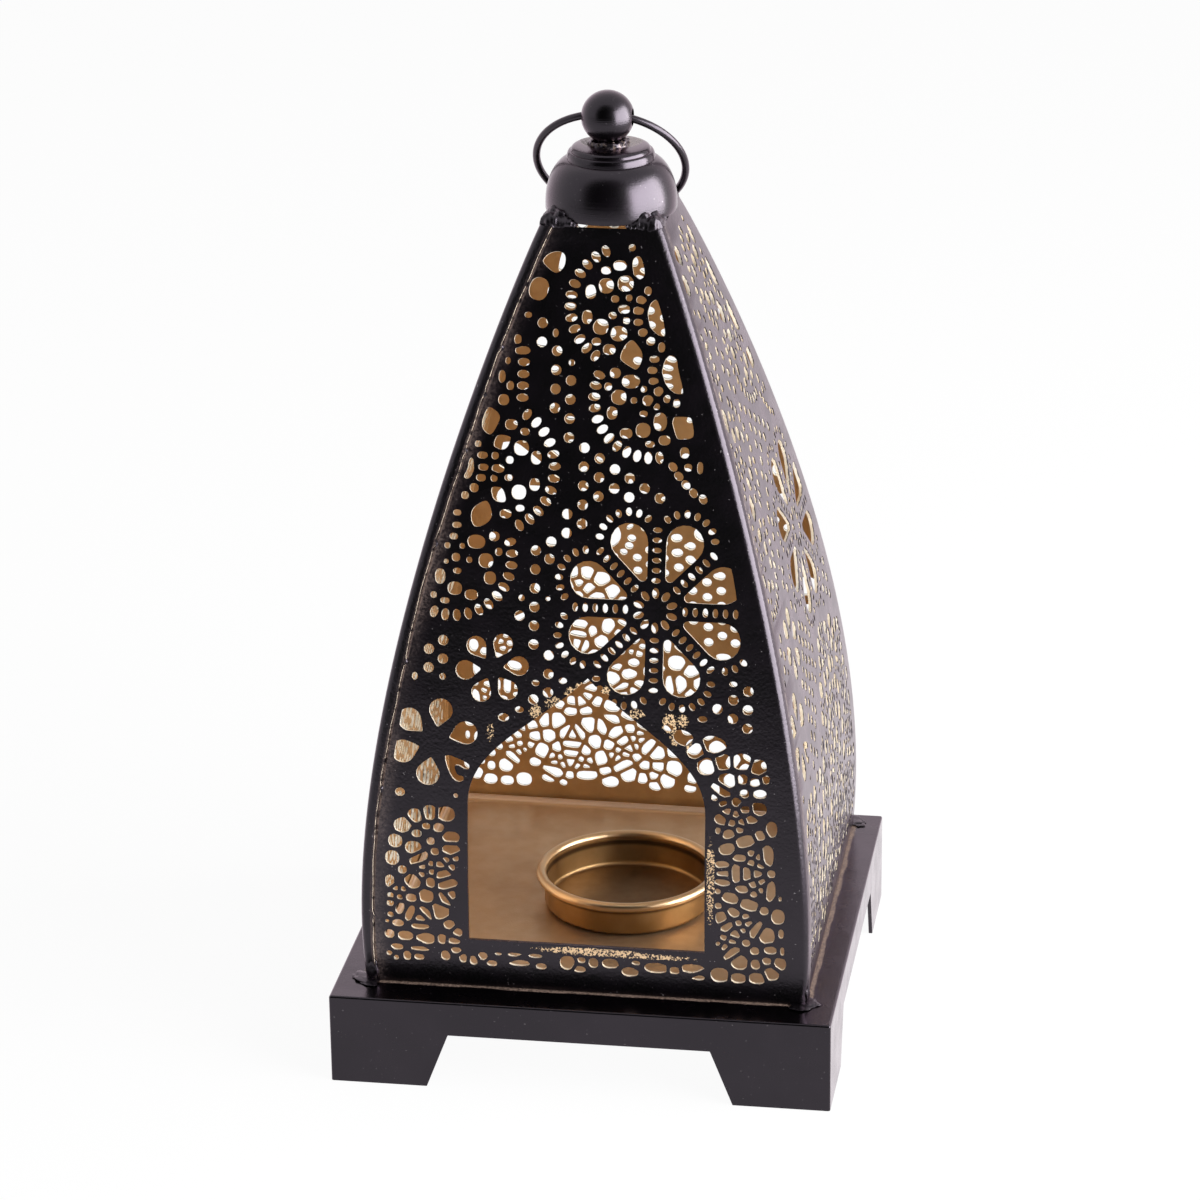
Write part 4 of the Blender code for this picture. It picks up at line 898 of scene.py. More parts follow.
class Graph:
    """Short calls for the nodes of a material or of the world. Noise takes its scale per metre."""

    def __init__(self, owner, place="Object"):
        owner.use_nodes = True
        self.surface = owner
        self.tree = owner.node_tree
        self.shader = self.tree.nodes.get("Principled BSDF")
        self.place = self.node("ShaderNodeTexCoord").outputs[place]

    def node(self, kind, **settings):
        node = self.tree.nodes.new(kind)
        for key, value in settings.items():
            setattr(node, key, value)
        return node

    def put(self, value, socket):
        """Join an output to a socket, or set the socket to a constant."""
        if hasattr(value, "is_output"):
            self.tree.links.new(value, socket)
        else:
            socket.default_value = value

    def made(self, kind, output, inputs, **settings):
        """One output of a new node, whose inputs are given by name or number."""
        node = self.node(kind, **settings)
        for key, value in inputs.items():
            self.put(value, node.inputs[key])
        return node.outputs[output]

    def noise(self, scale, detail=2.0, roughness=0.5, place=None):
        return self.made("ShaderNodeTexNoise", "Fac", {"Vector": place or self.place, "Scale": scale,
                                                       "Detail": detail, "Roughness": roughness})

    def spread(self, value, low, high, to_low=0.0, to_high=1.0):
        """A value's way from low to high, eased and brought to another range."""
        inputs = {"Value": value, "From Min": low, "From Max": high, "To Min": to_low, "To Max": to_high}
        return self.made("ShaderNodeMapRange", "Result", inputs, interpolation_type="SMOOTHSTEP")

    def grains(self, scale, low, high, least, most):
        """Fine grain between two strengths."""
        return self.spread(self.noise(scale, 3, 0.6), low, high, least, most)

    def maths(self, operation, a, b=0.0):
        return self.made("ShaderNodeMath", 0, {0: a, 1: b}, operation=operation)

    def product(self, first, *rest):
        for factor in rest:
            first = self.maths("MULTIPLY", first, factor)
        return first

    def part(self, axis, vector=None):
        """One of a vector's three parts, of the place by default."""
        return self.made("ShaderNodeSeparateXYZ", axis, {0: vector or self.place})

    def behind_middle(self, shift=0.0):
        """How far the place is behind the body's middle, or behind a shift from it."""
        return self.maths("SUBTRACT", self.part("Y"), BODY_SET_BACK + shift)

    def facing_up(self, low, high):
        """One where the surface's upward part is above high, and none below low."""
        return self.spread(self.part("Z", self.node("ShaderNodeNewGeometry").outputs["Normal"]), low, high)

    def choose(self, share, a, b):
        """Number a, or b where the share is one."""
        return self.made("ShaderNodeMix", "Result", {"Factor": share, "A": a, "B": b})

    def mix(self, share, a, b):
        """Colour a, or b where the share is one."""
        node = self.node("ShaderNodeMix", data_type="RGBA")
        self.put(share, node.inputs["Factor"])
        colours = [s for s in node.inputs if s.type == "RGBA"]
        for value, socket in zip((a, b), colours):
            self.put((*value, 1.0) if isinstance(value, tuple) else value, socket)
        return [s for s in node.outputs if s.type == "RGBA"][0]

    def bump(self, height, strength, distance, below=None):
        inputs = {"Strength": strength, "Distance": distance, "Height": height}
        if below:
            inputs["Normal"] = below
        return self.made("ShaderNodeBump", "Normal", inputs)

    def relief(self, normal):
        """One relief for the surface and for the clear coat on it."""
        self.set(normal=normal, coat_normal=normal)

    def behind(self, name):
        """What one of the shader's sockets is joined to so far."""
        return self.shader.inputs[name].links[0].from_socket

    def set(self, **sockets):
        for key, value in sockets.items():
            name = key.replace("_", " ").title().replace("Ior", "IOR")
            if isinstance(value, tuple):
                value = (*value, 1.0)
            self.put(value, self.shader.inputs[name])


def black_paint(name, gloss, peel, dents=0.35, dust=0.25):
    """Satin black with an orange-peel skin, soft dents and a little dust."""
    g = Graph(bpy.data.materials.new(name))
    specks = g.spread(g.noise(1500, 1), 0.74, 0.80, 0.0, dust)
    colour = g.mix(g.spread(g.noise(55, 3), 0.35, 0.7), DARK, LIGHT)
    skin = g.bump(g.noise(1300, 2), peel, 0.00022)
    rough = g.spread(g.noise(140, 3), 0.3, 0.7, gloss - 0.05, gloss + 0.07)
    g.set(base_color=g.mix(specks, colour, SPECK_DUST), metallic=g.maths("SUBTRACT", 1.0, specks),
          roughness=rough, specular_tint=GRAZING_TINT)
    g.set(coat_weight=1.0, coat_ior=COAT_IOR, coat_roughness=gloss)
    g.relief(g.bump(g.noise(70, 2), dents, 0.0006, skin))
    return g


def dusted(g, share, colour, rough):
    """Dull dust on a paint, where the share is one."""
    clean = g.maths("SUBTRACT", 1.0, share)
    g.set(base_color=g.mix(share, g.behind("Base Color"), colour), coat_weight=clean,
          metallic=g.product(g.behind("Metallic"), clean),
          roughness=g.maths("MAXIMUM", g.behind("Roughness"), g.product(share, rough)))


def body_paint(name, **finish):
    """Black paint with brown dust on each panel beside the fold that is lapped on its left edge."""
    g = black_paint(name, **finish)
    across, along = g.part("X"), g.behind_middle()
    side = g.maths("SIGN", g.product(across, along))
    out = g.maths("SUBTRACT", g.maths("ABSOLUTE", along), g.maths("ABSOLUTE", across))
    beside = g.product(side, out)
    near = g.product(g.spread(beside, *FOLD_DUST_START), g.spread(beside, *FOLD_DUST_END, 1.0, 0.0))
    clouds = g.spread(g.noise(45, 3), 0.35, 0.65, 0.25, 1.0)
    dusted(g, g.product(near, clouds, g.grains(1500, 0.36, 0.62, 0.3, 1.0)), FOLD_DUST, 0.6)
    return g


def spun_black_paint(name, dusty_above=None, **finish):
    """Black with the fine rings of turned metal, and dust above a level, round a place behind the ball."""
    g = black_paint(name, **finish)
    rings = g.noise(2600, 2, 0.7, g.made("ShaderNodeCombineXYZ", 0, {"Z": g.part("Z")}))
    g.relief(g.bump(rings, 0.4, 0.0001, g.behind("Normal")))
    if dusty_above:
        high = g.spread(g.part("Z"), dusty_above - TIER_DUST_DEPTH, dusty_above)
        across, along = g.part("X"), g.behind_middle(DUST_SET_BACK)
        out = g.maths("SQRT", g.maths("ADD", g.product(across, across), g.product(along, along)))
        near = g.spread(out, *(DUST_RADIUS + end for end in TIER_DUST_END), 1.0, 0.0)
        grains = g.grains(1900, 0.36, 0.62, 0.35, 0.95)
        dusted(g, g.product(g.facing_up(0.80, 0.97), high, near, grains), TIER_DUST, 0.6)
    return g


def plinth_paint(name, **finish):
    """Gloss black with brown dust along the joint round the body's foot."""
    g = black_paint(name, **finish)
    across = g.maths("ABSOLUTE", g.part("X"))
    along = g.maths("ABSOLUTE", g.behind_middle())
    wander = g.spread(g.noise(110, 2), 0.3, 0.7, -0.0002, 0.0003)
    out = g.maths("ADD", g.maths("MAXIMUM", across, along), wander)
    joint = g.spread(out, *(BOW_FOOT[0] + end for end in JOINT_DUST_END), 1.0, 0.0)
    level = g.spread(g.part("Z"), *(PLINTH_TOP - depth for depth in PLINTH_DUST_DEPTH))
    dusted(g, g.product(joint, level, g.grains(1500, 0.34, 0.60, 0.5, 1.0)), JOINT_DUST, 0.7)
    return g


def worn_black_paint(name, **finish):
    """Black paint with gold showing in specks round the doorway, by places in the flat sheet."""
    g = body_paint(name, **finish)
    flat = g.node("ShaderNodeTexCoord").outputs["UV"]
    span = UV_SPAN / MM
    shares = 0.0
    for x, up, half_width, half_height, strength in WEAR_PATCHES:
        scale = (span / half_width, span / half_height, 1.0)
        shift = (-(x / span + 0.5) * scale[0], -(up / span) * scale[1], 0.0)
        place = g.made("ShaderNodeMapping", "Vector", {"Vector": flat, "Scale": scale, "Location": shift})
        away = g.made("ShaderNodeVectorMath", "Value", {0: place}, operation="LENGTH")
        shares = g.maths("MAXIMUM", shares, g.spread(away, *WEAR_FADE, strength, 0.0))
    dusted(g, g.spread(g.product(shares, g.noise(2300, 2, 0.6)), 0.45, 0.53), BARED_GOLD, 0.4)
    return g


def gold_paint(name, dark, light, gloss, metal, grain=0.3, dents=0.2):
    """Metallic bronze-gold spray paint with a fine grain and soft clouds."""
    g = Graph(bpy.data.materials.new(name))
    g.set(base_color=g.mix(g.spread(g.noise(85, 4, 0.6), 0.3, 0.7), dark, light), metallic=metal,
          roughness=g.spread(g.noise(240, 3), 0.3, 0.7, gloss - 0.05, gloss + 0.09),
          normal=g.bump(g.noise(2600, 2), grain, 0.00012, g.bump(g.noise(160, 2), dents, 0.0004)))
    return g


def cut_edge_paint(name, dark, light, gloss, metal):
    """Gold on the cut edges, with black from the outer face over the first part of their depth."""
    g = gold_paint(name, dark, light, gloss, metal)
    depth = g.part("Y", g.node("ShaderNodeTexCoord").outputs["UV"])
    wander = g.spread(g.noise(700, 2), 0.3, 0.7, -0.12, 0.12)
    bare = g.spread(g.maths("ADD", depth, wander), 0.17, 0.29)
    g.set(base_color=g.mix(bare, LIGHT, g.behind("Base Color")), metallic=g.product(bare, metal))
    return g


def rim_gold_paint(name, rim, worn_colour, dark, light, gloss, **finish):
    """Gold paint lightened near its upper edge as a painted highlight, and smoother there."""
    g = gold_paint(name, dark, light, gloss, **finish)
    worn = g.spread(g.part("Z"), *(rim - depth for depth in HIGHLIGHT_RIM))
    g.set(base_color=g.mix(worn, g.behind("Base Color"), worn_colour),
          roughness=g.choose(worn, g.behind("Roughness"), HIGHLIGHT_GLOSS))
    return g


def cup_paint(name, foot, rim, **finish):
    """Gold paint with a painted highlight on the rim, a ring of painted shade under its bead, and painted
    shade on the bottom inside.
    """
    g = rim_gold_paint(name, rim, **finish)
    level = g.part("Z")
    # Painted shade: upward faces near the foot darken to brown
    low = g.spread(level, *(foot + height for height in CUP_FLOOR_SHADE_END), 1.0, 0.0)
    # Painted shade: a dark ring just under the rim's bead
    below = g.spread(level, *(rim - depth for depth in CUP_BEAD_SHADE_END), CUP_BEAD_SHADE_STRENGTH, 0.0)
    crease = g.product(g.spread(level, *(rim - depth for depth in CUP_BEAD_SHADE_START)), below)
    floor_shaded = g.mix(g.product(g.facing_up(0.5, 0.95), low), g.behind("Base Color"), CUP_FLOOR_SHADE)
    g.set(base_color=g.mix(crease, floor_shaded, CUP_BEAD_SHADE))
    return g


def scraped_paint(name, colour, scrapes, peel, **finish):
    """Black paint on rough metal, which comes through as the noise goes from one level to the other."""
    g = black_paint(name, peel=peel, **finish)
    dusted(g, g.spread(g.noise(900, 4, 0.7), *scrapes), colour, 0.35)
    return g


body_black = body_paint("body_black", gloss=0.30, peel=0.3, dust=0.5).surface
worn_black = worn_black_paint("worn_body_black", gloss=0.30, peel=0.3, dust=0.5).surface
plinth_black = plinth_paint("plinth_black", gloss=0.22, peel=0.10).surface
cap_black = spun_black_paint("cap_black", gloss=0.26, peel=0.06, dents=0.1).surface
tier_black = spun_black_paint("tier_black", TIER_EDGE[1], gloss=0.22, peel=0.06, dents=0.1).surface
ring_black = black_paint("ring_black", gloss=0.30, peel=0.10).surface
inner_gold = gold_paint("inner_gold", (0.50, 0.30, 0.13), (0.60, 0.37, 0.17), 0.46, metal=0.85).surface
# Cut edges: gold paint, lightened to cream as a painted highlight for the glints on the hole walls
edge_gold_and_highlight = cut_edge_paint("edge_gold_and_highlight", (0.93, 0.82, 0.63), (0.98, 0.93, 0.82), 0.30, 0.55).surface
# The tray's upper edge is lightened to a pinkish painted highlight
floor_gold = rim_gold_paint("floor_gold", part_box("floor_plate")[1][2], (0.90, 0.76, 0.64),
                            (0.49, 0.335, 0.20), (0.54, 0.375, 0.23), 0.40, metal=0.7).surface
# The cup's rim is lightened to a painted highlight
cup_gold = cup_paint("cup_gold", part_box("candle_cup")[0][2], rim=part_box("candle_cup")[1][2],
                     worn_colour=(0.70, 0.51, 0.31), dark=(0.36, 0.225, 0.095), light=(0.46, 0.295, 0.14),
                     gloss=0.40, grain=0.06, metal=1.0, dents=0.02).surface
lip_metal = scraped_paint("lip_metal", (0.70, 0.58, 0.46), (0.40, 0.50), 0.3, gloss=0.35).surface
weld_black = scraped_paint("weld_black", (0.16, 0.15, 0.16), (0.64, 0.80), 0.3, gloss=0.32, dents=0.4).surface
weld_brown = scraped_paint("weld_brown", (0.20, 0.155, 0.125), (0.50, 0.70), 0.4, gloss=0.34,
                           dents=0.4).surface


# Panels and the tacks on their seams


def build_panels():
    """The front panel with its doorway, and three alike without one."""
    plain = list(plain_holes())
    inner = (inner_gold, edge_gold_and_highlight, lip_metal)
    for corner, (name, turn) in enumerate(FACES):
        if name == "front":
            holes = list(front_holes())
            build_panel(name, radians(turn), holes, corner, (worn_black, *inner), door_outline())
        else:
            build_panel(name, radians(turn), plain, corner, (body_black, *inner))


def build_tacks():
    """Small beads where the folded edges are tacked down."""
    for corner, (name, turn) in enumerate(FACES):
        bm = bmesh.new()
        spin = Matrix.Rotation(radians(turn), 4, "Z")
        for k, up in enumerate(tack_places(corner)):
            edge = half_at(up) - CORNER_RADIUS + FOLD_ARC + SEAM_LAP + TACK_JOG * TACK_JOG_SHARE
            place = MIDDLE + spin @ bend(edge, up, TACK_SINK)
            lump(bm, place, TACK_RADII, radians(turn), TACK_ROUGHNESS, corner * TACK_SEED + k, detail=2)
        new_piece("seam_tacks_" + name, bm, [weld_black])


# Plinth

PLINTH_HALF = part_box("plinth")[1][0]
PLINTH_SHEET = 0.0010
PLINTH_FOLD = 0.0006
FOLD_STEPS = 5
FOOT_WIDTH = 0.0242
FOOT_SHOULDER = 0.0298
FOOT_ARCH_HEIGHT = 0.0144
EDGE_SOFTNESS = 0.00015
EDGE_STEPS = 2


def prism(outline, axis, half_length):
    """A closed bar with the outline (across, up), running both ways along X or Y."""
    bm = bmesh.new()
    ends = []
    for place in (-half_length, half_length):
        if axis == "Y":
            ends.append([bm.verts.new((a, place, z)) for a, z in outline])
        else:
            ends.append([bm.verts.new((place, a, z)) for a, z in outline])
    bm.faces.new(ends[0])
    bm.faces.new(ends[1])
    for k in range(len(outline)):
        m = (k + 1) % len(outline)
        bm.faces.new((ends[0][k], ends[0][m], ends[1][m], ends[1][k]))
    return bm


def cut_away(piece, bm):
    """Take a closed shape away from a piece, and drop the shape."""
    cutter = new_piece("cutter", bm, [plinth_black], body=None)
    modifier = piece.modifiers.new("cut", "BOOLEAN")
    modifier.operation = "DIFFERENCE"
    modifier.solver = "EXACT"
    modifier.object = cutter
    bake_modifiers(piece)
    bpy.data.objects.remove(cutter, do_unlink=True)


def bake_modifiers(piece):
    """Make a piece's modified shape its own mesh."""
    graph = bpy.context.evaluated_depsgraph_get()
    mesh = bpy.data.meshes.new_from_object(piece.evaluated_get(graph))
    piece.modifiers.clear()
    piece.data = mesh


def smooth_shaded(piece):
    """Smooth shading, with creases kept."""
    piece.data.shade_smooth()
    piece.data.set_sharp_from_angle(angle=FOLD_ANGLE)


def round_edges(bm, edges, radius, steps):
    bmesh.ops.bevel(bm, geom=edges, offset=radius, segments=steps, affect="EDGES", profile=0.5)


def smooth_folds(piece):
    """Smooth shading on the folds, with the flat faces left even."""
    smooth_shaded(piece)
    even = piece.modifiers.new("even_faces", "WEIGHTED_NORMAL")
    even.keep_sharp = True
    bake_modifiers(piece)


def build_plinth():
    half = PLINTH_HALF
    shell = box((-half, -half, 0.0), (half, half, PLINTH_TOP))
    folds = [e for e in shell.edges if max(v.co.z for v in e.verts) > PLINTH_TOP / 2]
    round_edges(shell, folds, PLINTH_FOLD, FOLD_STEPS)
    plinth = new_piece("folded_plinth", shell, [plinth_black])
    inner = half - PLINTH_SHEET
    below = -PLINTH_TOP
    cut_away(plinth, box((-inner, -inner, below), (inner, inner, PLINTH_TOP - PLINTH_SHEET)))
    slope = (FOOT_SHOULDER - FOOT_WIDTH) / FOOT_ARCH_HEIGHT
    bottom = half - FOOT_WIDTH + slope * PLINTH_TOP
    top = half - FOOT_SHOULDER
    outline = [(-bottom, below), (bottom, below), (top, FOOT_ARCH_HEIGHT), (-top, FOOT_ARCH_HEIGHT)]
    for axis in "XY":
        cut_away(plinth, prism(outline, axis, 2 * half))
    soften = plinth.modifiers.new("soft_edges", "BEVEL")
    soften.width = EDGE_SOFTNESS
    soften.segments = EDGE_STEPS
    soften.limit_method = "ANGLE"
    bake_modifiers(plinth)
    smooth_folds(plinth)
    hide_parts("plinth")


# Floor and cup

FLOOR_SHEET = 0.0008
FLOOR_COVE = 0.0014
COVE_STEPS = 6
FLOOR_CORNER = 0.0019
HOLLOW_RISE = 0.005
BACK_EDGE_GAP = 0.0004
BACK_EDGE_SKEW = 0.0024
CUP_SEGMENTS = 96
CUP_SPREAD = 0.0003
CUP_RISE = 0.0008
CUP_BEAD = 0.0013
# Distances inside and below the rim, in radii of its bead
CUP_WALL_IN = 1.5
CUP_BEAD_END = 2.2
CUP_SHEET = 0.0005
CUP_FOLD = 0.0018
CUP_CREASE = 0.0012


def askew(bm):
    """The tray's back edge comes forward from left to right, as the plate lies a little askew."""
    for vert in bm.verts:
        if vert.co.y > 0.0:
            vert.co.y -= BACK_EDGE_GAP + BACK_EDGE_SKEW * (0.5 + vert.co.x / (2 * PLINTH_HALF))
    return bm


def build_floor():
    low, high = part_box("floor_plate")
    tray = askew(box(low, high))
    upright = [e for e in tray.edges if e.verts[0].co.z != e.verts[1].co.z]
    round_edges(tray, upright, FLOOR_CORNER, FOLD_STEPS)
    plate = new_piece("gilt_floor", tray, [floor_gold])
    inner = Vector((FLOOR_SHEET, FLOOR_SHEET, FLOOR_SHEET))
    hollow = askew(box(Vector(low) + inner, Vector(high) - inner + Vector((0.0, 0.0, HOLLOW_RISE))))
    cove = [e for e in hollow.edges if max(v.co.z for v in e.verts) < high[2]]
    round_edges(hollow, cove, FLOOR_COVE, COVE_STEPS)
    cut_away(plate, hollow)
    smooth_folds(plate)
    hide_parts("floor_plate")


def build_cup():
    low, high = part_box("candle_cup")
    centre = ((low[0] + high[0]) / 2, (low[1] + high[1]) / 2)
    rim_radius = (high[0] - low[0]) / 2 + CUP_SPREAD
    foot, rim = low[2], high[2] + CUP_RISE
    wall = rim_radius - CUP_WALL_IN * CUP_BEAD
    inside = wall - CUP_SHEET
    outline = [(0.0, foot)] + arc((wall - CUP_FOLD, foot + CUP_FOLD), (CUP_FOLD, CUP_FOLD), 270, 350, 5)
    outline += arc((rim_radius - CUP_BEAD, rim - CUP_BEAD), (CUP_BEAD, CUP_BEAD), 230, 570, 20)
    outline += [(inside, rim - CUP_BEAD_END * CUP_BEAD)]
    outline += arc((inside - CUP_CREASE, foot + CUP_SHEET + CUP_CREASE), (CUP_CREASE, CUP_CREASE), 0, -90, 6)
    outline += [(0.0, foot + CUP_SHEET)]
    cup = new_piece("spun_cup", turned(outline, CUP_SEGMENTS), [cup_gold])
    for vert in cup.data.vertices:
        vert.co += Vector((*centre, 0.0))
    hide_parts("candle_cup")


# Cap

CAP_SEGMENTS = 128


def placed_on_middle(piece, lean=0.0):
    """Move a turned piece onto the body's middle, with a lean to the right as hand work leaves it."""
    for vert in piece.data.vertices:
        vert.co += MIDDLE + Vector((lean, 0.0, 0.0))


def tier_outline():
    """A drawn-in band, a small step, a rounded edge and a low crown."""
    band_radius, band_top = TIER_BAND
    edge_radius, edge_top = TIER_EDGE
    shelf = band_radius - TIER_STEP
    outline = arc((band_radius, TIER_FOOT), (TIER_RADIUS - band_radius, band_top - TIER_FOOT), 0, 80, 8)
    outline += arc((edge_radius, band_top), (shelf - edge_radius, edge_top - band_top), 0, 80, 6)
    outline += arc((0.0, edge_top), (edge_radius, TIER_CROWN), 12, 70, 10)
    return outline + [(SPIGOT_HOLE, edge_top + TIER_CROWN), (SPIGOT_HOLE, TIER_FOOT)]


def build_cap():
    foot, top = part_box("cap_dome")[0][2] - DOME_DROP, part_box("cap_dome")[1][2] - DOME_SEAT
    skins = []
    for inset in (0.0, DOME_SHEET):
        centre = (DOME_RADIUS - DOME_SHOULDER, foot + DOME_SKIRT)
        radii = (DOME_SHOULDER - inset, top - foot - DOME_SKIRT - inset)
        skirt = [(DOME_RADIUS - inset - DOME_LIP[0], foot), (DOME_RADIUS - inset, foot + DOME_LIP[1])]
        skins.append(skirt + arc(centre, radii, 0, 90, 18) + [(SPIGOT_HOLE, top - inset)])
    shell = turned(skins[0] + skins[1][::-1], CAP_SEGMENTS)
    dome = new_piece("spun_dome", shell, [cap_black])
    placed_on_middle(dome, CAP_LEAN)
    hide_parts("cap_dome")
    tier = new_piece("spun_tier", turned(tier_outline(), CAP_SEGMENTS), [tier_black])
    placed_on_middle(tier, CAP_LEAN)
    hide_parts("cap_tier")


BALL_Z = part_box("finial_ball")[1][2] - BALL_RADIUS
BALL_STEPS = 40
BORE_SEGMENTS = 48


def build_ball():
    """A ball on its spigot, bored across for the ring."""
    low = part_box("finial_ball")[0][2]
    spigot = SPIGOT_HOLE - SPIGOT_PLAY
    join = asin(spigot / BALL_RADIUS)
    turn = [join + (pi - join) * k / BALL_STEPS for k in range(BALL_STEPS)]
    outline = [(0.0, low), (spigot, low)]
    outline += [(BALL_RADIUS * sin(a), BALL_Z - BALL_RADIUS * cos(a)) for a in turn]
    outline += [(0.0, BALL_Z + BALL_RADIUS)]
    ball = new_piece("bored_ball", turned(outline, CAP_SEGMENTS), [cap_black])
    placed_on_middle(ball, BALL_LEAN)
    bore = bmesh.new()
    place = Matrix.Translation(MIDDLE + Vector((0.0, 0.0, BALL_Z))) @ Matrix.Rotation(pi / 2, 4, "Y")
    bmesh.ops.create_cone(bore, cap_ends=True, segments=BORE_SEGMENTS, radius1=BALL_HOLE_RADIUS,
                          radius2=BALL_HOLE_RADIUS, depth=4 * BALL_RADIUS, matrix=place)
    cut_away(ball, bore)
    smooth_shaded(ball)
    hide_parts("finial_ball")


# Ring handle

RING_RADIUS = 0.0184
RING_WIRE_RADIUS = 0.00095
RING_SEGMENTS = 160
WIRE_SIDES = 16


def ring_frame():
    """Middle and downward-leaning direction of the ring, measured on its solid at rest."""
    points = np.array([v.co[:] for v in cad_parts["ring_handle"].data.vertices])
    middle = (points.max(axis=0) + points.min(axis=0)) / 2
    lean = atan2(BALL_Z - middle[2], middle[1] - BODY_SET_BACK)
    return Vector(middle), lean


def build_ring():
    middle, lean = ring_frame()
    down = Vector((0.0, cos(lean), -sin(lean)))
    normal = Vector((0.0, sin(lean), cos(lean)))
    bm = bmesh.new()
    wires = []
    for k in range(RING_SEGMENTS):
        a = 2 * pi * k / RING_SEGMENTS
        outward = Vector((sin(a), 0.0, 0.0)) + down * cos(a)
        wire = []
        for m in range(WIRE_SIDES):
            b = 2 * pi * m / WIRE_SIDES
            wire.append(bm.verts.new(middle + outward * RING_RADIUS
                                     + (outward * cos(b) + normal * sin(b)) * RING_WIRE_RADIUS))
        wires.append(wire)
    for k in range(RING_SEGMENTS):
        here, there = wires[k], wires[(k + 1) % RING_SEGMENTS]
        for m in range(WIRE_SIDES):
            n = (m + 1) % WIRE_SIDES
            bm.faces.new((here[m], here[n], there[n], there[m]))
    ring = new_piece("wire_ring", bm, [ring_black], body="ring")
    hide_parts("ring_handle")


# Welds

WELD_VOXEL = 0.00022
# Steps of the noise's seed from lump to lump or corner to corner
CAP_WELD_SEED = 3.1
FOOT_WELD_SEED = 2.3
FOLD_END_SEED = (1.7, 5.0)
NECK_SEED = 1.3
CAP_WELD_RUN = 0.0066
CAP_WELD_LUMPS = 8
CAP_WELD_LEVEL = 0.2092
CAP_WELD_CORNER = 0.0184
CAP_WELD_DROP = 0.0010
CAP_WELD_WAVE = 0.0003
CAP_WELD_PHASES = (2.1, 1.7)
# Radii of a lump at the corner, and how much smaller they are at the end of the run
CAP_WELD_RADII = (0.0022, 0.0011, 0.0032)
CAP_WELD_TAPER = (0.0, 0.0005, 0.0020)
CAP_WELD_ROUGHNESS = 0.12
RISE_RUN = 0.3
RISE_IN = 0.0012
RISE_UP = 0.0015
RISE_RADII = (0.0019, 0.0012, 0.0017)
RISE_ROUGHNESS = 0.3
FOOT_WELD_RADII = (0.0040, 0.0026, 0.00035)
FOOT_WELD_ROUGHNESS = 0.4
FOOT_WELD_DETAIL = 4
FOLD_END = Vector((-0.0531, -0.0551, 0.0030))
FOLD_END_RADII = (0.0017, 0.0008, 0.0031)
FOLD_END_ROUGHNESS = 0.35
NECK_LUMPS = 11
NECK_RADIUS = 0.0038
NECK_WAVE = 0.0003
NECK_RISE = 0.0002
NECK_LUMP_RADII = (0.0010, 0.0020, 0.0011)
NECK_ROUGHNESS = 0.6
# Skins of melted welds: softening steps, height of the grain and its scale. Finer grain adds to it
CAP_WELD_SKIN = (14, 0.00018, 260)
NECK_SKIN = (3, 0.00010, 480)
FINE_SHARE = 0.5
FINE_SCALE = 2.7


def fused(piece, softening, height, scale):
    """Melt a piece's lumps into one skin, soften it, and roughen it again a little."""
    melt = piece.modifiers.new("melt", "REMESH")
    melt.mode = "VOXEL"
    melt.voxel_size = WELD_VOXEL
    melt.use_smooth_shade = True
    soften = piece.modifiers.new("soften", "SMOOTH")
    soften.iterations = softening
    bake_modifiers(piece)
    for vert in piece.data.vertices:
        push = noise.noise(vert.co * scale) + FINE_SHARE * noise.noise(vert.co * scale * FINE_SCALE)
        vert.co += vert.normal * height * push


def build_cap_weld(index, name, turn):
    """Lumps along both panels from the corner, and up on the dome's skirt."""
    angle = radians(turn)
    away = Vector((sin(angle), -cos(angle), 0.0))
    corner = MIDDLE + away * CAP_WELD_CORNER
    bm = bmesh.new()
    for side in (-1, 1):
        run = Matrix.Rotation(side * pi / 4, 3, "Z") @ -away
        for k in range(CAP_WELD_LUMPS):
            share = k / (CAP_WELD_LUMPS - 1)
            wave = CAP_WELD_WAVE * sin(index * CAP_WELD_PHASES[0] + k * CAP_WELD_PHASES[1] + side)
            level = CAP_WELD_LEVEL + wave - CAP_WELD_DROP * (1 - share)
            place = corner + run * CAP_WELD_RUN * share + Vector((0.0, 0.0, level))
            radii = [full - less * share for full, less in zip(CAP_WELD_RADII, CAP_WELD_TAPER)]
            seed = index * CAP_WELD_SEED + k + side
            lump(bm, place, radii, angle + side * pi / 4, CAP_WELD_ROUGHNESS, seed)
        rise = corner + run * CAP_WELD_RUN * RISE_RUN - away * RISE_IN
        rise.z += CAP_WELD_LEVEL + RISE_UP
        lump(bm, rise, RISE_RADII, angle, RISE_ROUGHNESS, index + side)
    weld = new_piece("rough_cap_weld_" + name, bm, [weld_black])
    fused(weld, *CAP_WELD_SKIN)
    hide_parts("cap_weld_" + name)


def build_foot_weld(index, name, turn):
    """A flat smear on the plinth, and a black lump that closes the end of the fold above it."""
    low, high = (Vector(corner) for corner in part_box("foot_weld_" + name))
    place = (low + high) / 2
    place.z = low.z
    bm = bmesh.new()
    seed = index * FOOT_WELD_SEED
    lump(bm, place, FOOT_WELD_RADII, radians(turn), FOOT_WELD_ROUGHNESS, seed, FOOT_WELD_DETAIL)
    weld = new_piece("rough_foot_weld_" + name, bm, [weld_black])
    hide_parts("foot_weld_" + name)
    bm = bmesh.new()
    angle = radians(turn - CORNERS[-1][1])
    end = MIDDLE + Matrix.Rotation(angle, 3, "Z") @ FOLD_END + Vector((0.0, 0.0, PLINTH_TOP))
    seed = index * FOLD_END_SEED[0] + FOLD_END_SEED[1]
    lump(bm, end, FOLD_END_RADII, angle, FOLD_END_ROUGHNESS, seed)
    new_piece("fold_end_weld_" + name, bm, [weld_black])


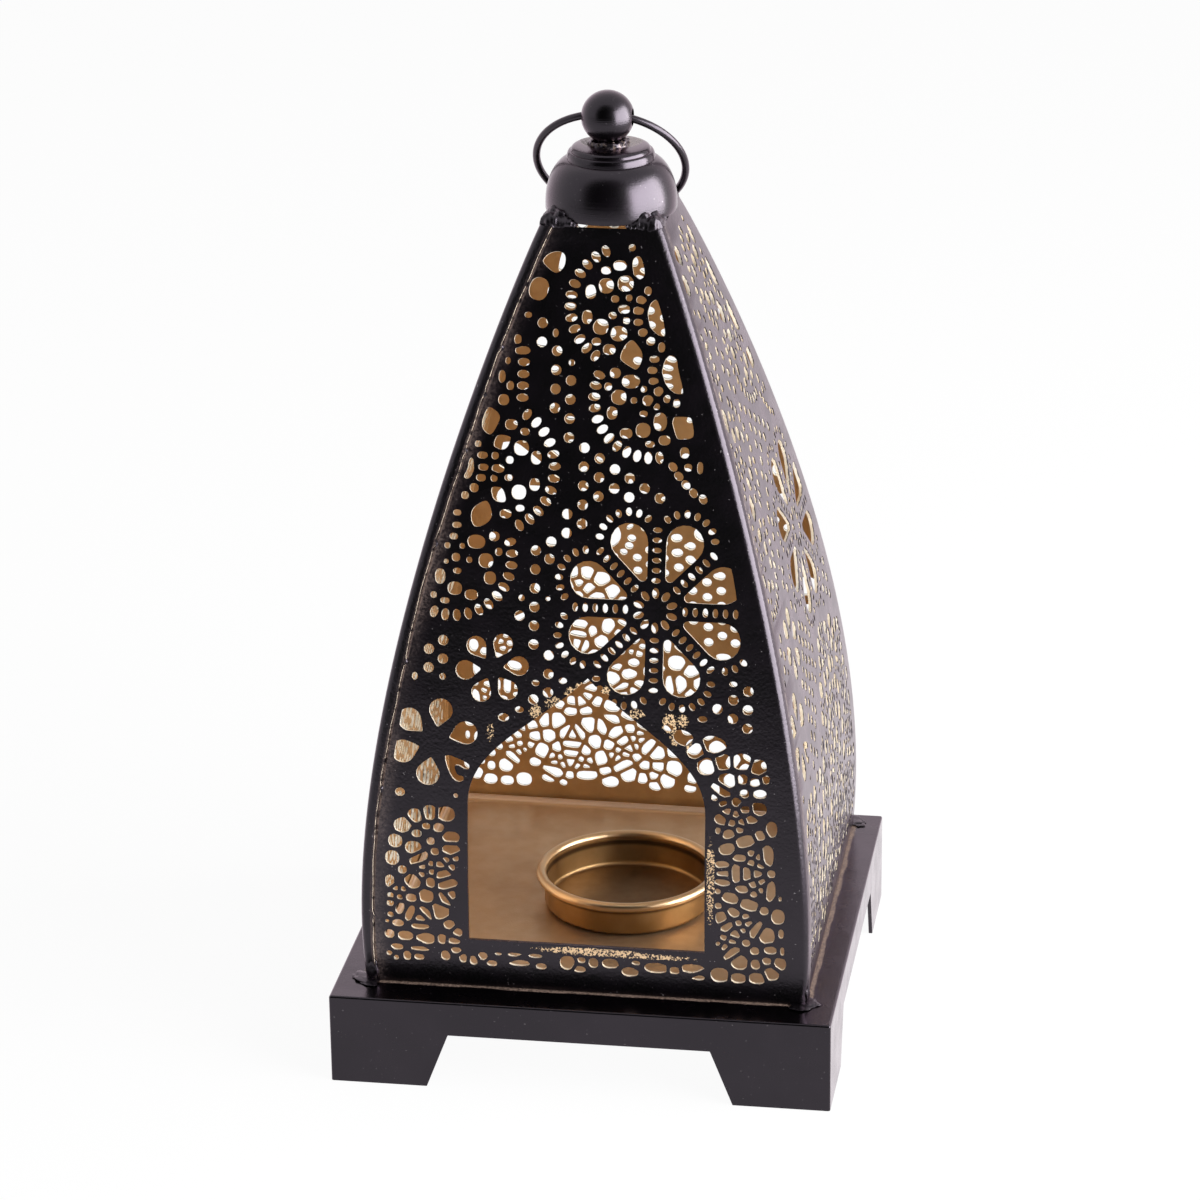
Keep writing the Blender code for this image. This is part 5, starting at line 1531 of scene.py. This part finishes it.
def build_neck_weld():
    """A rough collar of lumps round the ball's foot."""
    bm = bmesh.new()
    level = TIER_EDGE[1] + TIER_CROWN
    for k in range(NECK_LUMPS):
        a = 2 * pi * k / NECK_LUMPS
        out = NECK_RADIUS + NECK_WAVE * sin(4 * a)
        place = MIDDLE + Vector((out * cos(a), out * sin(a), level + NECK_RISE + NECK_RISE * sin(3 * a)))
        lump(bm, place, NECK_LUMP_RADII, a, NECK_ROUGHNESS, k * NECK_SEED)
    weld = new_piece("rough_neck_weld", bm, [weld_brown])
    fused(weld, *NECK_SKIN)
    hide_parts("neck_weld")


def build_welds():
    for index, (name, turn) in enumerate(CORNERS):
        build_cap_weld(index, name, turn)
        build_foot_weld(index, name, turn)
    build_neck_weld()


# Floor, light and camera

WHITE = (1.0, 1.0, 1.0, 1.0)
STAGE_SIZE = 6.0
STAGE_GREY = (0.8, 0.8, 0.8)
FLOOR_GLOW = 0.95
TABLE_END = -0.40
ROOM_START = -2.2
ROOM_RISE = radians(20)
ROOM_HALF_ANGLES = (radians(36), radians(50))
ROOM_LIGHT = 0.02
WORLD_FILL = 0.35


def mirrored_rays(g):
    """Whether a ray is the camera's, and whether it comes from a reflection or through glass."""
    path = g.node("ShaderNodeLightPath").outputs
    return path["Is Camera Ray"], g.maths("MAXIMUM", path["Is Glossy Ray"], path["Is Transmission Ray"])


def build_stage():
    """A plain white floor that keeps a faint shadow. In reflections the table ends before the dark room."""
    bm = bmesh.new()
    bmesh.ops.create_grid(bm, x_segments=1, y_segments=1, size=STAGE_SIZE)
    g = Graph(bpy.data.materials.new("studio_floor"))
    camera, mirrored = mirrored_rays(g)
    table = g.maths("MAXIMUM", camera, g.spread(g.part("Y"), ROOM_START, TABLE_END))
    glow = g.made("ShaderNodeEmission", 0, {"Color": WHITE, "Strength": table})
    g.set(base_color=STAGE_GREY, roughness=0.9, specular_ior_level=0.0)
    share = g.product(g.maths("MAXIMUM", camera, mirrored), FLOOR_GLOW)
    blend = g.made("ShaderNodeMixShader", 0, {0: share, 1: g.shader.outputs[0], 2: glow})
    g.put(blend, g.tree.nodes["Material Output"].inputs["Surface"])
    ground = new_piece("studio_floor", bm, [g.surface], body=None)


def build_world():
    """White where the camera sees it and in reflections, apart from the dark room in front."""
    world = bpy.data.worlds.new("studio")
    bpy.context.scene.world = world
    g = Graph(world, "Generated")
    camera, mirrored = mirrored_rays(g)
    ahead = (0.0, -cos(ROOM_RISE), sin(ROOM_RISE))
    towards = g.made("ShaderNodeVectorMath", "Value", {0: g.place, 1: ahead}, operation="DOT_PRODUCT")
    narrow, wide = (cos(angle) for angle in ROOM_HALF_ANGLES)
    room = g.spread(towards, wide, narrow, 1.0, ROOM_LIGHT)
    lit = g.choose(mirrored, WORLD_FILL, room)
    back = g.tree.nodes["Background"]
    back.inputs["Color"].default_value = WHITE
    g.put(g.choose(camera, lit, 1.0), back.inputs["Strength"])


# The photograph's viewpoint, with its distances in sides of the plinth
PLINTH_SIDE = 0.125
CAMERA_TURN = radians(9.2)
CAMERA_RISE = radians(21.89)
CAMERA_ROLL = radians(-0.74)
CAMERA_DISTANCE = 9.5733 * PLINTH_SIDE
CAMERA_TARGET_UP = 0.9 * PLINTH_SIDE
CAMERA_AIM = (-0.0254 * PLINTH_SIDE, -0.0381 * PLINTH_SIDE)
CAMERA_LENS = 143.2
CAMERA_SENSOR = 36.0
CAMERA_NEAR = 0.01


def build_camera():
    level = cos(CAMERA_RISE)
    back = Vector((sin(CAMERA_TURN) * level, -cos(CAMERA_TURN) * level, sin(CAMERA_RISE)))
    right = Vector((cos(CAMERA_TURN), sin(CAMERA_TURN), 0.0))
    up = back.cross(right)
    target = Vector((0.0, 0.0, CAMERA_TARGET_UP)) + right * CAMERA_AIM[0] + up * CAMERA_AIM[1]
    roll_right = right * cos(CAMERA_ROLL) + up * sin(CAMERA_ROLL)
    roll_up = up * cos(CAMERA_ROLL) - right * sin(CAMERA_ROLL)
    data = bpy.data.cameras.new("photo_view")
    data.lens = CAMERA_LENS
    data.sensor_width = CAMERA_SENSOR
    data.clip_start = CAMERA_NEAR
    camera = bpy.data.objects.new("photo_view", data)
    turn = Matrix((roll_right, roll_up, back)).transposed().to_4x4()
    camera.matrix_world = Matrix.Translation(target + back * CAMERA_DISTANCE) @ turn
    bpy.context.scene.collection.objects.link(camera)
    bpy.context.scene.camera = camera


# One large softbox at the right, standing on the table
SOFTBOX_TURN = radians(78.5)
SOFTBOX_DISTANCE = 0.70
SOFTBOX_SIZE = (0.96, 0.70)
SOFTBOX_LIFT = 0.01
SOFTBOX_POWER = 27.0


def build_lights():
    light = bpy.data.lights.new("softbox_right", "AREA")
    light.shape = "RECTANGLE"
    light.size, light.size_y = SOFTBOX_SIZE
    light.energy = SOFTBOX_POWER
    away = Vector((sin(SOFTBOX_TURN), -cos(SOFTBOX_TURN), 0.0)) * SOFTBOX_DISTANCE
    lamp = bpy.data.objects.new("softbox_right", light)
    lamp.location = away + Vector((0.0, 0.0, SOFTBOX_SIZE[1] / 2 + SOFTBOX_LIFT))
    lamp.rotation_euler = (-away).to_track_quat("-Z", "Y").to_euler()
    bpy.context.scene.collection.objects.link(lamp)


def build_scene():
    bpy.context.scene.view_settings.view_transform = "Standard"
    build_camera()
    build_stage()
    build_world()
    build_lights()
    build_panels()
    build_tacks()
    build_plinth()
    build_floor()
    build_cup()
    build_cap()
    build_ball()
    build_ring()
    build_welds()


build_scene()
